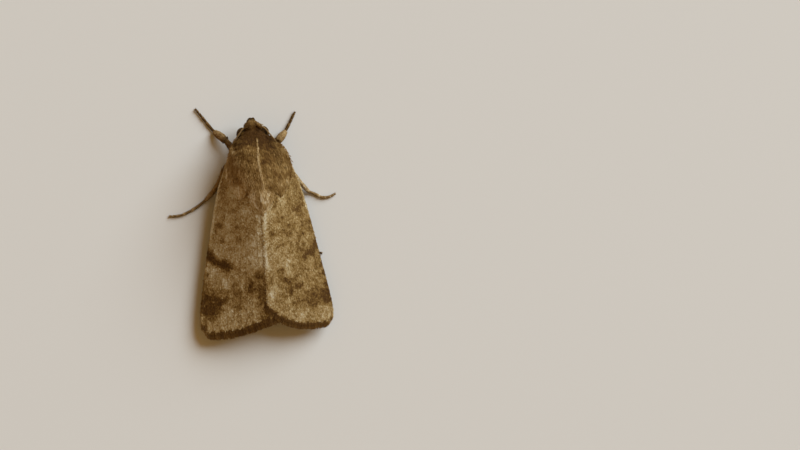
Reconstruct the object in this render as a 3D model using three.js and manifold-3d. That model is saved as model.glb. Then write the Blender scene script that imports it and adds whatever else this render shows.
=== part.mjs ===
// A bollworm moth (a stout-bodied noctuid) at rest, life size, in millimetres.
// It sits on a flat floor at z = 0 with its wings closed over its back like a low roof.
//
// The moth's own axes: +X to its left, +Y towards its tail, +Z up.
// "Station" is the distance along Y behind the tips of its palps.

import * as THREE from "three";
import { mergeVertices } from "three/addons/utils/BufferGeometryUtils.js";
import Module from "manifold-3d";

const wasm = await Module();
wasm.setup();

// ---------------------------------------------------------------- driving dimensions

const wingThickness = 0.5;
const limbRadius = 0.26; // thinnest leg, feeler or palp
const gap = 0.08; // clearance between neighbouring pieces
const cutGap = 0.1; // width of the cuts across the trunk
const midlineGap = 0.06; // from the middle plane to the inner margin of a closed wing
const headEnd = 2.0; // stations of the cuts between head, collar, thorax and abdomen
const collarEnd = 3.15;
const thoraxEnd = 8.6;
const clawRise = 0.2; // height of a foot's centre line above the floor

// The trunk from head to tail: [station, half width, lowest z, highest z].
const trunkStations = [
  [0.5, 0.38, 1.85, 2.65],
  [0.85, 0.82, 1.5, 3.1],
  [1.45, 1.15, 1.35, 3.4],
  [2.0, 1.55, 1.35, 3.55],
  [2.4, 1.85, 1.3, 3.85],
  [2.8, 2.05, 1.15, 4.25],
  [3.6, 2.3, 0.9, 4.9],
  [5.0, 2.5, 0.75, 5.4],
  [6.5, 2.4, 0.75, 5.5],
  [7.8, 2.0, 0.85, 5.1],
  [8.6, 1.65, 0.95, 4.05],
  [9.6, 1.7, 0.85, 3.85],
  [11.2, 1.65, 0.8, 3.55],
  [13.2, 1.45, 0.8, 3.1],
  [15.2, 1.1, 0.85, 2.5],
  [16.6, 0.7, 0.95, 2.0],
  [17.4, 0.3, 1.1, 1.65],
];

// The roof that the closed forewings make, as functions of the station.
const ridgeHeight = profile([
  [3.0, 4.2], [4.5, 4.85], [6.5, 5.2], [8.5, 5.15], [11, 4.8], [14, 4.1], [17, 3.35], [20.5, 2.6],
]);
const edgeHeight = profile([
  [3.0, 3.0], [4.5, 2.45], [6.5, 1.95], [8.5, 1.7], [11, 1.5], [14, 1.35], [17, 1.25], [20.5, 1.2],
]);
const roofHalfWidth = profile([
  [3.0, 2.7], [4.4, 3.1], [6.6, 3.95], [8.4, 4.35], [10, 4.75], [13.7, 5.5], [17, 6.08], [20.5, 6.3],
]);
const roofRoundness = profile([[3.0, 1.9], [8.5, 1.55], [14, 1.35], [20.5, 1.25]]);

// The outline of a forewing seen from above: x off the midline, station.
const costaPoints = [
  [2.7, 3.5], [3.1, 4.2], [3.5, 5.4], [3.98, 6.8], [4.73, 10], [5.48, 13.7], [6.08, 17], [6.28, 18.6],
  [6.2, 19.45], [5.8, 20.05],
];
const innerMarginPoints = [
  [1.85, 5.0], [1.7, 6.5], [1.15, 7.7], [0.4, 8.5], [0.06, 9.4], [0.06, 11], [0.06, 16.5],
  [0.06, 18.4], [0.1, 19.62],
];
const termenPoints = [
  [0.1, 19.62], [0.9, 19.85], [1.8, 20.15], [2.8, 20.36], [4.0, 20.45], [5.2, 20.38], [5.8, 20.05],
];
const shoulderSpread = { left: -0.22, right: 0.22 }; // how far each costa stands out at the shoulder
const shoulderFade = [4, 15]; // stations between which that spread fades to nothing

// A hindwing, folded under its forewing.
const hindCostaPoints = [[2.1, 8.2], [2.5, 10], [2.75, 13], [2.8, 16], [2.4, 18.2]];
const hindInnerPoints = [[0.5, 9.2], [0.12, 10.4], [0.12, 14], [0.12, 17.2]];
const hindTermenPoints = [[0.12, 17.2], [0.6, 18.2], [1.5, 18.55], [2.4, 18.2]];

// A tegula, the flap over a wing's root.
const tegulaOuterPoints = [
  [1.6, 2.7], [2.2, 2.75], [2.62, 3.2], [2.95, 4.0], [3.12, 4.9], [3.0, 5.8], [2.7, 6.7], [2.1, 7.55],
];
const tegulaInnerPoints = [[1.3, 2.95], [1.15, 4.4], [1.15, 5.8], [1.35, 7.1], [1.75, 7.55]];
const tegulaThickness = 0.5;

const eyeCentre = [0.98, 1.6, 2.28];
const eyeRadii = [0.56, 0.66, 0.76];
const palpPath = [[0.32, 1.1, 1.25], [0.32, 0.55, 1.4], [0.31, 0.32, 1.85], [0.3, 0.3, 2.2]];
const palpRadii = [0.27, 0.29, 0.27, 0.26];
const antennaPath = [
  [0.5, 0.85, 3.2], [1.0, 1.15, 3.2], [1.5, 1.75, 3.0], [1.98, 2.4, 2.7], [2.3, 3.05, 2.35],
  [2.5, 3.9, 2.02], [2.66, 4.7, 1.93], [2.8, 6.0, 1.78], [2.85, 7.5, 1.62], [2.95, 9.5, 1.5],
];

// Legs: the coxa on the thorax, then the knees and joints in order, with a foot on the floor.
// Each foot is [x, station] only, because it lies flat.
const legs = {
  foreleg_left: {
    coxa: [[0.65, 3.7, 1.25], [0.95, 3.7, 0.95]],
    femur: [[0.95, 3.7, 0.93], [1.8, 2.95, 1.15], [2.45, 2.0, 1.0]],
    tibia: [[2.45, 2.0, 1.0], [3.34, 1.12, 0.36]],
    foot: [[3.34, 1.12], [3.72, 0.62], [4.33, -0.28], [5.05, -1.32]],
    tibiaRadius: 0.32,
  },
  foreleg_right: {
    coxa: [[-0.65, 3.7, 1.25], [-0.95, 3.7, 0.95]],
    femur: [[-0.95, 3.7, 0.93], [-1.8, 3.15, 1.15], [-2.3, 2.55, 1.0]],
    tibia: [[-2.3, 2.55, 1.0], [-3.25, 1.65, 0.36]],
    foot: [[-3.25, 1.65], [-3.62, 1.1], [-4.02, 0.45], [-4.45, -0.3]],
    tibiaRadius: 0.32,
  },
  midleg_left: {
    coxa: [[0.7, 5.1, 1.1], [1.05, 5.1, 0.9]],
    femur: [[1.05, 5.1, 0.88], [2.2, 4.65, 1.15], [3.0, 4.5, 1.15]],
    tibia: [[3.0, 4.5, 1.15], [3.78, 6.2, 0.66], [4.75, 7.4, 0.36]],
    foot: [[4.75, 7.4], [5.7, 8.03], [6.9, 8.56], [7.7, 8.67], [8.45, 8.62]],
    tibiaRadius: 0.28,
  },
  midleg_right: {
    coxa: [[-0.7, 5.1, 1.1], [-1.05, 5.1, 0.9]],
    femur: [[-1.05, 5.1, 0.88], [-2.2, 4.65, 1.15], [-3.0, 4.5, 1.15]],
    tibia: [[-3.0, 4.5, 1.15], [-4.05, 6.2, 0.64], [-5.03, 7.42, 0.36]],
    foot: [[-5.03, 7.42], [-5.63, 7.7], [-6.28, 8.06], [-7.0, 8.08], [-7.7, 7.8]],
    tibiaRadius: 0.28,
  },
  hindleg_left: {
    coxa: [[0.7, 6.9, 1.1], [1.05, 7.0, 0.9]],
    femur: [[1.05, 7.0, 0.88], [2.1, 7.7, 0.9], [2.85, 8.4, 0.85]],
    tibia: [[2.85, 8.4, 0.85], [2.95, 10.2, 0.62], [3.12, 12.2, 0.36]],
    foot: [[3.12, 12.2], [3.6, 13.4], [4.2, 14.7], [4.6, 15.9]],
    tibiaRadius: 0.28,
  },
  hindleg_right: {
    coxa: [[-0.7, 6.9, 1.1], [-1.05, 7.0, 0.9]],
    femur: [[-1.05, 7.0, 0.88], [-2.0, 7.6, 0.9], [-2.65, 8.2, 0.85]],
    tibia: [[-2.65, 8.2, 0.85], [-2.6, 9.6, 0.62], [-2.8, 11.2, 0.36]],
    foot: [[-2.8, 11.2], [-3.6, 12.2], [-4.6, 12.95], [-5.4, 13.25], [-6.0, 13.45]],
    tibiaRadius: 0.28,
  },
};

const finish = {
  forewing: { color: 0x82663f, roughness: 0.8, metalness: 0 },
  hindwing: { color: 0x9b886c, roughness: 0.8, metalness: 0 },
  body: { color: 0x6f542d, roughness: 0.85, metalness: 0 },
  abdomen: { color: 0x8f754e, roughness: 0.85, metalness: 0 },
  leg: { color: 0x7f643d, roughness: 0.7, metalness: 0 },
  feeler: { color: 0x6a4f2a, roughness: 0.7, metalness: 0 },
  eye: { color: 0x2b2416, roughness: 0.25, metalness: 0 },
};

// ---------------------------------------------------------------- numbers

// A smooth function through a few [at, value] pairs, level beyond the first and the last.
function profile(pairs) {
  const slope = (i) => {
    const a = pairs[Math.max(i - 1, 0)];
    const b = pairs[Math.min(i + 1, pairs.length - 1)];
    return (b[1] - a[1]) / (b[0] - a[0]);
  };
  return (at) => {
    const last = pairs.length - 1;
    if (at <= pairs[0][0]) return pairs[0][1];
    if (at >= pairs[last][0]) return pairs[last][1];
    const i = pairs.findIndex((p) => p[0] > at) - 1;
    const [x0, y0] = pairs[i];
    const [x1, y1] = pairs[i + 1];
    const h = x1 - x0;
    const t = (at - x0) / h;
    const rise = y0 + (y1 - y0) * t * t * (3 - 2 * t);
    return rise + h * t * (1 - t) * ((1 - t) * slope(i) - t * slope(i + 1));
  };
}

const flatCurve = (points) =>
  new THREE.CatmullRomCurve3(points.map(([x, y]) => new THREE.Vector3(x, y, 0)), false, "centripetal");

const spaceCurve = (points) =>
  new THREE.CatmullRomCurve3(points.map((p) => new THREE.Vector3(...p)), false, "centripetal");

const mirrored = (points) => points.map(([x, ...rest]) => [-x, ...rest]);

// ---------------------------------------------------------------- solids

// A closed three.js geometry as a manifold solid, its shared vertices merged.
function solidFrom(geometry) {
  const bare = new THREE.BufferGeometry().setAttribute("position", geometry.getAttribute("position"));
  if (geometry.index) bare.setIndex(geometry.index);
  const merged = mergeVertices(bare, 1e-5);
  const made = new wasm.Manifold(
    new wasm.Mesh({
      numProp: 3,
      vertProperties: new Float32Array(merged.attributes.position.array),
      triVerts: new Uint32Array(merged.index.array),
    }),
  );
  return made.volume() < 0 ? turnedOut(merged) : made;
}

function turnedOut(geometry) {
  const index = geometry.index.array;
  for (let i = 0; i < index.length; i += 3) [index[i + 1], index[i + 2]] = [index[i + 2], index[i + 1]];
  return new wasm.Manifold(
    new wasm.Mesh({
      numProp: 3,
      vertProperties: new Float32Array(geometry.attributes.position.array),
      triVerts: new Uint32Array(index),
    }),
  );
}

function geometryFrom(solid) {
  const { vertProperties, triVerts } = solid.getMesh();
  const geometry = new THREE.BufferGeometry();
  geometry.setAttribute("position", new THREE.BufferAttribute(new Float32Array(vertProperties), 3));
  geometry.setIndex(new THREE.BufferAttribute(new Uint32Array(triVerts), 1));
  geometry.computeVertexNormals();
  return geometry;
}

// Rings of equal size, joined one to the next, with a fan over each end.
function ringSolid(rings) {
  const sides = rings[0].length;
  const points = rings.flat();
  const index = [];
  for (let r = 0; r + 1 < rings.length; r++) {
    for (let k = 0; k < sides; k++) {
      const a = r * sides + k;
      const b = r * sides + ((k + 1) % sides);
      index.push(a, b, b + sides, a, b + sides, a + sides);
    }
  }
  for (const r of [0, rings.length - 1]) {
    const centre = rings[r].reduce((sum, p) => sum.add(p), new THREE.Vector3()).divideScalar(sides);
    points.push(centre);
    for (let k = 0; k < sides; k++) {
      const a = r * sides + k;
      const b = r * sides + ((k + 1) % sides);
      index.push(...(r === 0 ? [points.length - 1, b, a] : [points.length - 1, a, b]));
    }
  }
  const geometry = new THREE.BufferGeometry().setFromPoints(points);
  geometry.setIndex(index);
  return solidFrom(geometry);
}

// A limb: a round tube along a curve whose radius follows the list radii, with domed ends.
function limb(points, radii, { sides = 7, steps = 8 } = {}) {
  const curve = spaceCurve(points);
  const radiusAt = profile(radii.map((r, i) => [i / (radii.length - 1), r]));
  const { normals, binormals } = curve.computeFrenetFrames(steps, false);
  const rings = [];
  for (let i = 0; i <= steps; i++) {
    const at = i / steps;
    const centre = curve.getPointAt(at);
    const radius = radiusAt(at) * (i === 0 || i === steps ? 0.6 : 1);
    rings.push(
      Array.from({ length: sides }, (_, k) => {
        const turn = (2 * Math.PI * k) / sides;
        return centre
          .clone()
          .addScaledVector(normals[i], radius * Math.cos(turn))
          .addScaledVector(binormals[i], radius * Math.sin(turn));
      }),
    );
  }
  return ringSolid(rings);
}

function ellipsoid(centre, radii, grow = 0) {
  const geometry = new THREE.SphereGeometry(1, 14, 9);
  geometry.scale(...radii.map((r) => r + grow));
  geometry.translate(...centre);
  return solidFrom(geometry);
}

// The trunk: elliptical rings between two stations.
function trunk(fromStation, toStation, steps, sides = 20) {
  const column = (c) => profile(trunkStations.map((row) => [row[0], row[c]]));
  const [halfWidth, low, high] = [column(1), column(2), column(3)];
  const rings = [];
  for (let i = 0; i <= steps; i++) {
    const station = fromStation + ((toStation - fromStation) * i) / steps;
    const middle = (low(station) + high(station)) / 2;
    const halfHeight = (high(station) - low(station)) / 2;
    rings.push(
      Array.from({ length: sides }, (_, k) => {
        const turn = (2 * Math.PI * k) / sides;
        return new THREE.Vector3(
          halfWidth(station) * Math.cos(turn),
          station,
          middle + halfHeight * Math.sin(turn),
        );
      }),
    );
  }
  return ringSolid(rings);
}

// ---------------------------------------------------------------- wings

const sign = { left: 1, right: -1 };

// Height of the closed forewings' upper face over a point of the floor.
function roof(x, station) {
  const share = Math.abs(x) / roofHalfWidth(station);
  const drop = (ridgeHeight(station) - edgeHeight(station)) * share ** roofRoundness(station);
  return ridgeHeight(station) - drop;
}

// How much taller than its thickness a sheet on the roof's slope is.
function slopeFactor(x, station) {
  const step = 0.05;
  const dx = (roof(x + step, station) - roof(x - step, station)) / (2 * step);
  const dy = (roof(x, station + step) - roof(x, station - step)) / (2 * step);
  return Math.hypot(1, dx, dy);
}

// The outline between four edges, as a function of (along, across), each from 0 to 1.
function patch(inner, costa, termen) {
  const tip = [termen.getPointAt(0), termen.getPointAt(1)];
  return (along, across) => {
    const sides = inner.getPointAt(along).lerp(costa.getPointAt(along), across);
    const straightTip = tip[0].clone().lerp(tip[1], across);
    const bow = termen.getPointAt(across).sub(straightTip).multiplyScalar(along);
    return sides.add(bow);
  };
}

// A sheet that follows the roof over an outline, from lift above it down through its thickness.
function roofSheet(outline, { lift = 0, thickness, grow = 0, cells }) {
  const [alongCells, acrossCells] = cells;
  const top = [];
  const bottom = [];
  for (let i = 0; i <= alongCells; i++) {
    for (let j = 0; j <= acrossCells; j++) {
      const { x, y } = outline(i / alongCells, j / acrossCells);
      const factor = slopeFactor(x, y);
      const height = roof(x, y) + lift * factor;
      top.push(new THREE.Vector3(x, y, height + grow * factor));
      bottom.push(new THREE.Vector3(x, y, height - (thickness + grow) * factor));
    }
  }
  const row = acrossCells + 1;
  const under = top.length;
  const index = [];
  const quad = (a, b, c, d) => index.push(a, b, c, a, c, d);
  for (let i = 0; i < alongCells; i++) {
    for (let j = 0; j < acrossCells; j++) {
      const a = i * row + j;
      quad(a, a + row, a + row + 1, a + 1);
      quad(under + a, under + a + 1, under + a + row + 1, under + a + row);
    }
  }
  const wall = (a, b) => quad(a, b, under + b, under + a);
  for (let i = 0; i < alongCells; i++) {
    wall((i + 1) * row, i * row);
    wall(i * row + acrossCells, (i + 1) * row + acrossCells);
  }
  for (let j = 0; j < acrossCells; j++) {
    wall(j, j + 1);
    wall(alongCells * row + j + 1, alongCells * row + j);
  }
  const geometry = new THREE.BufferGeometry().setFromPoints([...top, ...bottom]);
  geometry.setIndex(index);
  return solidFrom(geometry);
}

// One side's copy of an outline: the right wings are the left ones' mirror image.
function onSide(side, outline) {
  return (along, across) => {
    const p = outline(along, across);
    const fade = 1 - THREE.MathUtils.smoothstep(p.y, ...shoulderFade);
    const share = Math.min(1, p.x / roofHalfWidth(p.y));
    const x = Math.max(midlineGap, p.x + shoulderSpread[side] * fade * share ** 2);
    return new THREE.Vector3(sign[side] * x, p.y, 0);
  };
}

const forewingOutline = patch(
  flatCurve(innerMarginPoints),
  flatCurve(costaPoints),
  flatCurve(termenPoints),
);
const hindwingOutline = patch(
  flatCurve(hindInnerPoints),
  flatCurve(hindCostaPoints),
  flatCurve(hindTermenPoints),
);

function tegulaOutline(along, across) {
  const inner = flatCurve(tegulaInnerPoints).getPointAt(along);
  return inner.lerp(flatCurve(tegulaOuterPoints).getPointAt(along), across);
}

const forewing = (side, grow = 0) =>
  roofSheet(onSide(side, forewingOutline), { thickness: wingThickness, grow, cells: [17, 8] });

const hindwing = (side, grow = 0) =>
  roofSheet(onSide(side, hindwingOutline), {
    lift: -(wingThickness + gap),
    thickness: wingThickness,
    grow,
    cells: [10, 5],
  });

const tegula = (side, grow = 0) =>
  roofSheet(onSide(side, tegulaOutline), {
    lift: tegulaThickness + gap,
    thickness: tegulaThickness,
    grow,
    cells: [8, 5],
  });

// ---------------------------------------------------------------- pieces

const sides = ["left", "right"];
const pieces = {}; // node name: [solid, finish]

function joined(solids) {
  return solids.reduce((a, b) => a.add(b));
}

function carved(solid, cutters) {
  return cutters.reduce((a, b) => a.subtract(b), solid);
}

function largest(solid) {
  return solid.decompose().sort((a, b) => b.volume() - a.volume())[0];
}

// Cuts off what would reach through the floor, which leaves the flat that the foot stands on.
const standing = (solid) => solid.trimByPlane([0, 0, 1], 0);

function eye(side, grow = 0) {
  const [x, y, z] = eyeCentre;
  return ellipsoid([sign[side] * x, y, z], eyeRadii, grow);
}

function addEyes() {
  for (const side of sides) pieces[`eye_${side}`] = [eye(side), finish.eye];
}

function palp(side, grow = 0) {
  const path = side === "left" ? palpPath : mirrored(palpPath);
  return limb(path, palpRadii.map((r) => r + grow), { steps: 6 });
}

function antenna(side, grow = 0) {
  const path = side === "left" ? antennaPath : mirrored(antennaPath);
  return limb(path, [limbRadius + grow, limbRadius + grow], { sides: 6, steps: 18 });
}

function addFeelers() {
  for (const side of sides) {
    pieces[`palp_${side}`] = [palp(side), finish.feeler];
    pieces[`antenna_${side}`] = [largest(carved(antenna(side), [forewing(side, gap)])), finish.feeler];
  }
}

function addWings() {
  for (const side of sides) {
    pieces[`forewing_${side}`] = [forewing(side), finish.forewing];
    pieces[`hindwing_${side}`] = [hindwing(side), finish.hindwing];
    pieces[`tegula_${side}`] = [tegula(side), finish.body];
  }
}

function addHead() {
  const whole = trunk(trunkStations[0][0], headEnd - cutGap / 2, 7);
  const cutters = sides.flatMap((side) => [eye(side, gap), palp(side, gap), antenna(side, gap)]);
  pieces.head = [largest(carved(whole, cutters)), finish.body];
}

function addCollar() {
  const whole = trunk(headEnd + cutGap / 2, collarEnd - cutGap / 2, 4);
  const cutters = sides.flatMap((side) => [eye(side, gap), antenna(side, gap), tegula(side, gap)]);
  pieces.collar = [largest(carved(whole, cutters)), finish.body];
}

function addThorax() {
  const dome = trunk(collarEnd + cutGap / 2, thoraxEnd - cutGap / 2, 11);
  const coxae = Object.values(legs).map(({ coxa }) => limb(coxa, [0.5, 0.34], { sides: 7, steps: 2 }));
  const cutters = sides.flatMap((side) => [
    forewing(side, gap),
    hindwing(side, gap),
    tegula(side, gap),
    antenna(side, gap),
  ]);
  pieces.thorax = [largest(carved(joined([dome, ...coxae]), cutters)), finish.body];
}

function addAbdomen() {
  const last = trunkStations[trunkStations.length - 1][0];
  const whole = trunk(thoraxEnd + cutGap / 2, last, 12);
  const cutters = sides.flatMap((side) => [forewing(side, gap), hindwing(side, gap)]);
  pieces.abdomen = [largest(carved(whole, cutters)), finish.abdomen];
}

// A leg's femur, tibia and foot. Each later piece is cut clear of the one before it.
function addLeg(name, { femur, tibia, foot, tibiaRadius }) {
  const thigh = (grow) => limb(femur, [0.3, 0.34, 0.28].map((r) => r + grow), { steps: 6 });
  const shin = (grow) => limb(tibia, [0.9, 1, 0.9].map((r) => r * tibiaRadius + grow), { steps: 6 });
  const footPath = foot.map(([x, y]) => [x, y, clawRise]);
  const sole = limb(footPath, [limbRadius + 0.02, limbRadius], { steps: 7 });
  pieces[`${name}_femur`] = [largest(carved(thigh(0), [pieces.thorax[0]])), finish.leg];
  pieces[`${name}_tibia`] = [largest(carved(shin(0), [thigh(gap)])), finish.leg];
  pieces[`${name}_foot`] = [largest(standing(carved(sole, [shin(gap)]))), finish.leg];
}

addEyes();
addFeelers();
addWings();
addHead();
addCollar();
addThorax();
addAbdomen();
Object.entries(legs).forEach(([name, leg]) => addLeg(name, leg));

// ---------------------------------------------------------------- the moth

const moth = new THREE.Group();
for (const [name, [solid, look]] of Object.entries(pieces)) {
  const mesh = new THREE.Mesh(geometryFrom(solid), new THREE.MeshStandardMaterial(look));
  mesh.name = name;
  moth.add(mesh);
}

// The origin is on the floor under the middle of the whole moth.
const span = new THREE.Box3().setFromObject(moth);
const middle = span.getCenter(new THREE.Vector3());
moth.position.set(-middle.x, -middle.y, -span.min.z);

export default moth;
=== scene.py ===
import math
from functools import partial

import bmesh
import bpy
import numpy as np
from mathutils import Matrix, Vector, noise


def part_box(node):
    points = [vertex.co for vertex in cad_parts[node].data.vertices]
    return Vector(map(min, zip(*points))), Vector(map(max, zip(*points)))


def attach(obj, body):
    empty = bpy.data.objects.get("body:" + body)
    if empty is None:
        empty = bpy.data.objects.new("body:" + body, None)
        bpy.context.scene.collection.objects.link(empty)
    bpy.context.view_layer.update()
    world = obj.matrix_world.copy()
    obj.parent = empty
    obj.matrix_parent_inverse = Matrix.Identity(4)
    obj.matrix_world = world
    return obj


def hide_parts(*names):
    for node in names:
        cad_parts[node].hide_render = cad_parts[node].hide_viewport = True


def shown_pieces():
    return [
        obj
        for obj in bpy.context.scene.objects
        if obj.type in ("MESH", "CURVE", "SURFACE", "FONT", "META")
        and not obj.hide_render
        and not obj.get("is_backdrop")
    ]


# A bollworm moth at rest: its skins, wings, scales and hairs, built round the fixed frame.
# Lengths are millimetres on the moth's own axes until toRow() takes them into the frame:
# x to its left, y (the station) from the tips of its palps to its tail, z up from the floor.

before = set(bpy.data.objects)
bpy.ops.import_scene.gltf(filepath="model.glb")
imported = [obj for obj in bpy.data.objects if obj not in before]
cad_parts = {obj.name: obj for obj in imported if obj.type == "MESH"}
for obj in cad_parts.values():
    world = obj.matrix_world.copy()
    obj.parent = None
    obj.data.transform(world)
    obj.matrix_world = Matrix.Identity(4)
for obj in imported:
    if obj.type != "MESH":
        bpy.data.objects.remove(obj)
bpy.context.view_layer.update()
mm = 0.001
up = np.array([0.0, 0.0, 1.0])
sideSign = {"left": 1, "right": -1}

eyePlace = {"centre": (0.98, 1.6, 2.28), "radii": (0.56, 0.66, 0.76)}
eyeLow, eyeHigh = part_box("eye_left")
originShift = np.array((eyeLow + eyeHigh) / 2) / mm - np.array(eyePlace["centre"])


def toRow(points):
    return (np.asarray(points, float) + originShift) * mm


# numbers along a length

def profile(pairs):  # a soft curve through (at, value) pairs, level beyond its ends
    at, value = np.array(pairs, float).T
    index = np.arange(len(at))
    before, after = np.maximum(index - 1, 0), np.minimum(index + 1, index[-1])
    slope = (value[after] - value[before]) / (at[after] - at[before])

    def curve(x):
        x = np.clip(x, at[0], at[-1])
        i = np.clip(np.searchsorted(at, x, side="right") - 1, 0, index[-1] - 1)
        h = at[i + 1] - at[i]
        t = (x - at[i]) / h
        rise = value[i] + (value[i + 1] - value[i]) * t * t * (3 - 2 * t)
        return rise + h * t * (1 - t) * ((1 - t) * slope[i] - t * slope[i + 1])

    return curve


def smoothLine(points, samples=240):  # share of the way, 0 to 1, to a place on a soft line
    points = np.array(points, float)
    steps = np.sqrt(np.linalg.norm(np.diff(points, axis=0), axis=1))
    run = np.concatenate([[0], np.cumsum(steps)])
    dense = np.stack([profile(list(zip(run, c)))(np.linspace(0, run[-1], samples)) for c in points.T], 1)
    way = np.concatenate([[0], np.cumsum(np.linalg.norm(np.diff(dense, axis=0), axis=1))])
    way /= way[-1]
    return lambda t: np.stack([np.interp(t, way, column) for column in dense.T], -1)


def ramp(x, low, high):  # 0 below low, 1 above high, soft between
    t = np.clip((np.asarray(x, float) - low) / (high - low), 0, 1)
    return t * t * (3 - 2 * t)


def fall(x, low, high):  # 1 below low, 0 above high
    return 1 - ramp(x, low, high)


def band(x, low, high, soft):
    return ramp(x, low - soft, low + soft) * fall(x, high - soft, high + soft)


def hump(x, middle, width):
    return np.exp(-(((np.asarray(x, float) - middle) / width) ** 2))


def mottle(points, size, seed):  # smooth noise from -1 to 1 with blotches of that size in mm
    shift = Vector((seed * 7.1, seed * 3.7, seed * 1.3))
    flat = np.asarray(points, float).reshape(-1, 3)
    values = [noise.noise(Vector(p / size) + shift) for p in flat]
    return np.array(values).reshape(np.asarray(points).shape[:-1])


def unit(vectors):
    return vectors / np.maximum(np.linalg.norm(vectors, axis=-1, keepdims=True), 1e-9)


# meshes

def linkObject(name, data):
    made = bpy.data.objects.new(name, data)
    bpy.context.scene.collection.objects.link(made)
    return made


def setField(mesh, label, values):  # one value for all the points, or one for each
    values = np.asarray(values, np.float32)
    if values.ndim == 0:
        values = np.full(len(mesh.vertices), values)
    kind, key = ("FLOAT", "value") if values.ndim == 1 else ("FLOAT_VECTOR", "vector")
    layer = mesh.attributes.get(label) or mesh.attributes.new(label, kind, "POINT")
    layer.data.foreach_set(key, values.ravel())


def fieldOf(piece, label):
    values = np.zeros(len(piece.data.vertices), np.float32)
    piece.data.attributes[label].data.foreach_get("value", values)
    return values


def makeObject(name, skin, finish=None, smooth=True):
    # skin: points, faces, cornerUv, fields; with no finish it's a leaf or segment about its own root
    places = toRow(skin["points"]) if finish else np.array(skin["points"]) * mm
    mesh = bpy.data.meshes.new(name)
    mesh.from_pydata(places.tolist(), [], skin["faces"])
    if "cornerUv" in skin:
        layer = mesh.uv_layers.new(name="unwrap")
        layer.data.foreach_set("uv", np.asarray(skin["cornerUv"], np.float32).ravel())
    plain = {"tint": 0.5, "stand": 1.0, "growth": 1.0} if finish else {}
    for label, values in {**plain, **skin.get("fields", {})}.items():
        setField(mesh, label, values)
    shell = bmesh.new()
    shell.from_mesh(mesh)
    bmesh.ops.recalc_face_normals(shell, faces=shell.faces)
    shell.to_mesh(mesh)
    shell.free()
    mesh.polygons.foreach_set("use_smooth", [smooth] * len(mesh.polygons))
    if finish:
        mesh.materials.append(finish)
    return linkObject(name, mesh)


def keepPiece(piece, slot, *nodes):
    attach(piece, "root")
    if nodes:
        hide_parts(*nodes)
    return piece


def stayAboveFloor(piece, clearance=0.004):
    places = np.zeros(len(piece.data.vertices) * 3, np.float32)
    piece.data.vertices.foreach_get("co", places)
    places[2::3] = np.maximum(places[2::3], clearance * mm)
    piece.data.vertices.foreach_set("co", places)
    piece.data.update()


def onGrid(values, shape):  # one value for all places of a grid, or one for each
    return np.broadcast_to(values, shape[:2] + np.shape(values)[2:])


def grid(look, alongEnds=(0, 1), acrossEnds=(0, 1)):
    along, across = np.linspace(*alongEnds, look["rows"]), np.linspace(*acrossEnds, look["columns"])
    return np.meshgrid(along, across, indexing="ij")


wholeUnwrap = (0.02, 0.02, 0.98, 0.98)


def ringSkin(rings, rect=wholeUnwrap, **fields):
    # rings (count, sides, 3) joined one to the next, with a fan over each end
    count, sides = rings.shape[:2]
    u = rect[0] + (rect[2] - rect[0]) * np.arange(sides + 1) / sides
    v = rect[1] + (rect[3] - rect[1]) * np.linspace(0.02, 0.98, count)
    faces, uv = [], []
    for r in range(count - 1):
        for k in range(sides):
            a, b = r * sides + k, r * sides + (k + 1) % sides
            faces.append((a, b, b + sides, a + sides))
            uv += [(u[k], v[r]), (u[k + 1], v[r]), (u[k + 1], v[r + 1]), (u[k], v[r + 1])]
    for end, r, edge in ((0, 0, rect[1]), (1, count - 1, rect[3])):
        for k in range(sides):
            faces.append((r * sides + k, r * sides + (k + 1) % sides, count * sides + end))
            uv += [(u[k], v[r]), (u[k + 1], v[r]), ((u[k] + u[k + 1]) / 2, edge)]
    given = {}
    for label, f in {"points": rings, "lie": unit(np.gradient(rings, axis=0)), **fields}.items():
        f = onGrid(f, rings.shape)
        flat = f.reshape((count * sides,) + f.shape[2:])
        given[label] = np.concatenate([flat, f[:1].mean(1), f[-1:].mean(1)])
    return {"points": given.pop("points"), "faces": faces, "cornerUv": uv, "fields": given}


def joinSkins(skins):
    starts = np.cumsum([0] + [len(s["points"]) for s in skins])
    return {
        "points": np.vstack([s["points"] for s in skins]),
        "faces": [tuple(i + n for i in f) for s, n in zip(skins, starts) for f in s["faces"]],
        "cornerUv": [uv for s in skins for uv in s["cornerUv"]],
        "fields": {k: np.concatenate([s["fields"][k] for s in skins]) for k in skins[0]["fields"]},
    }


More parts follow.
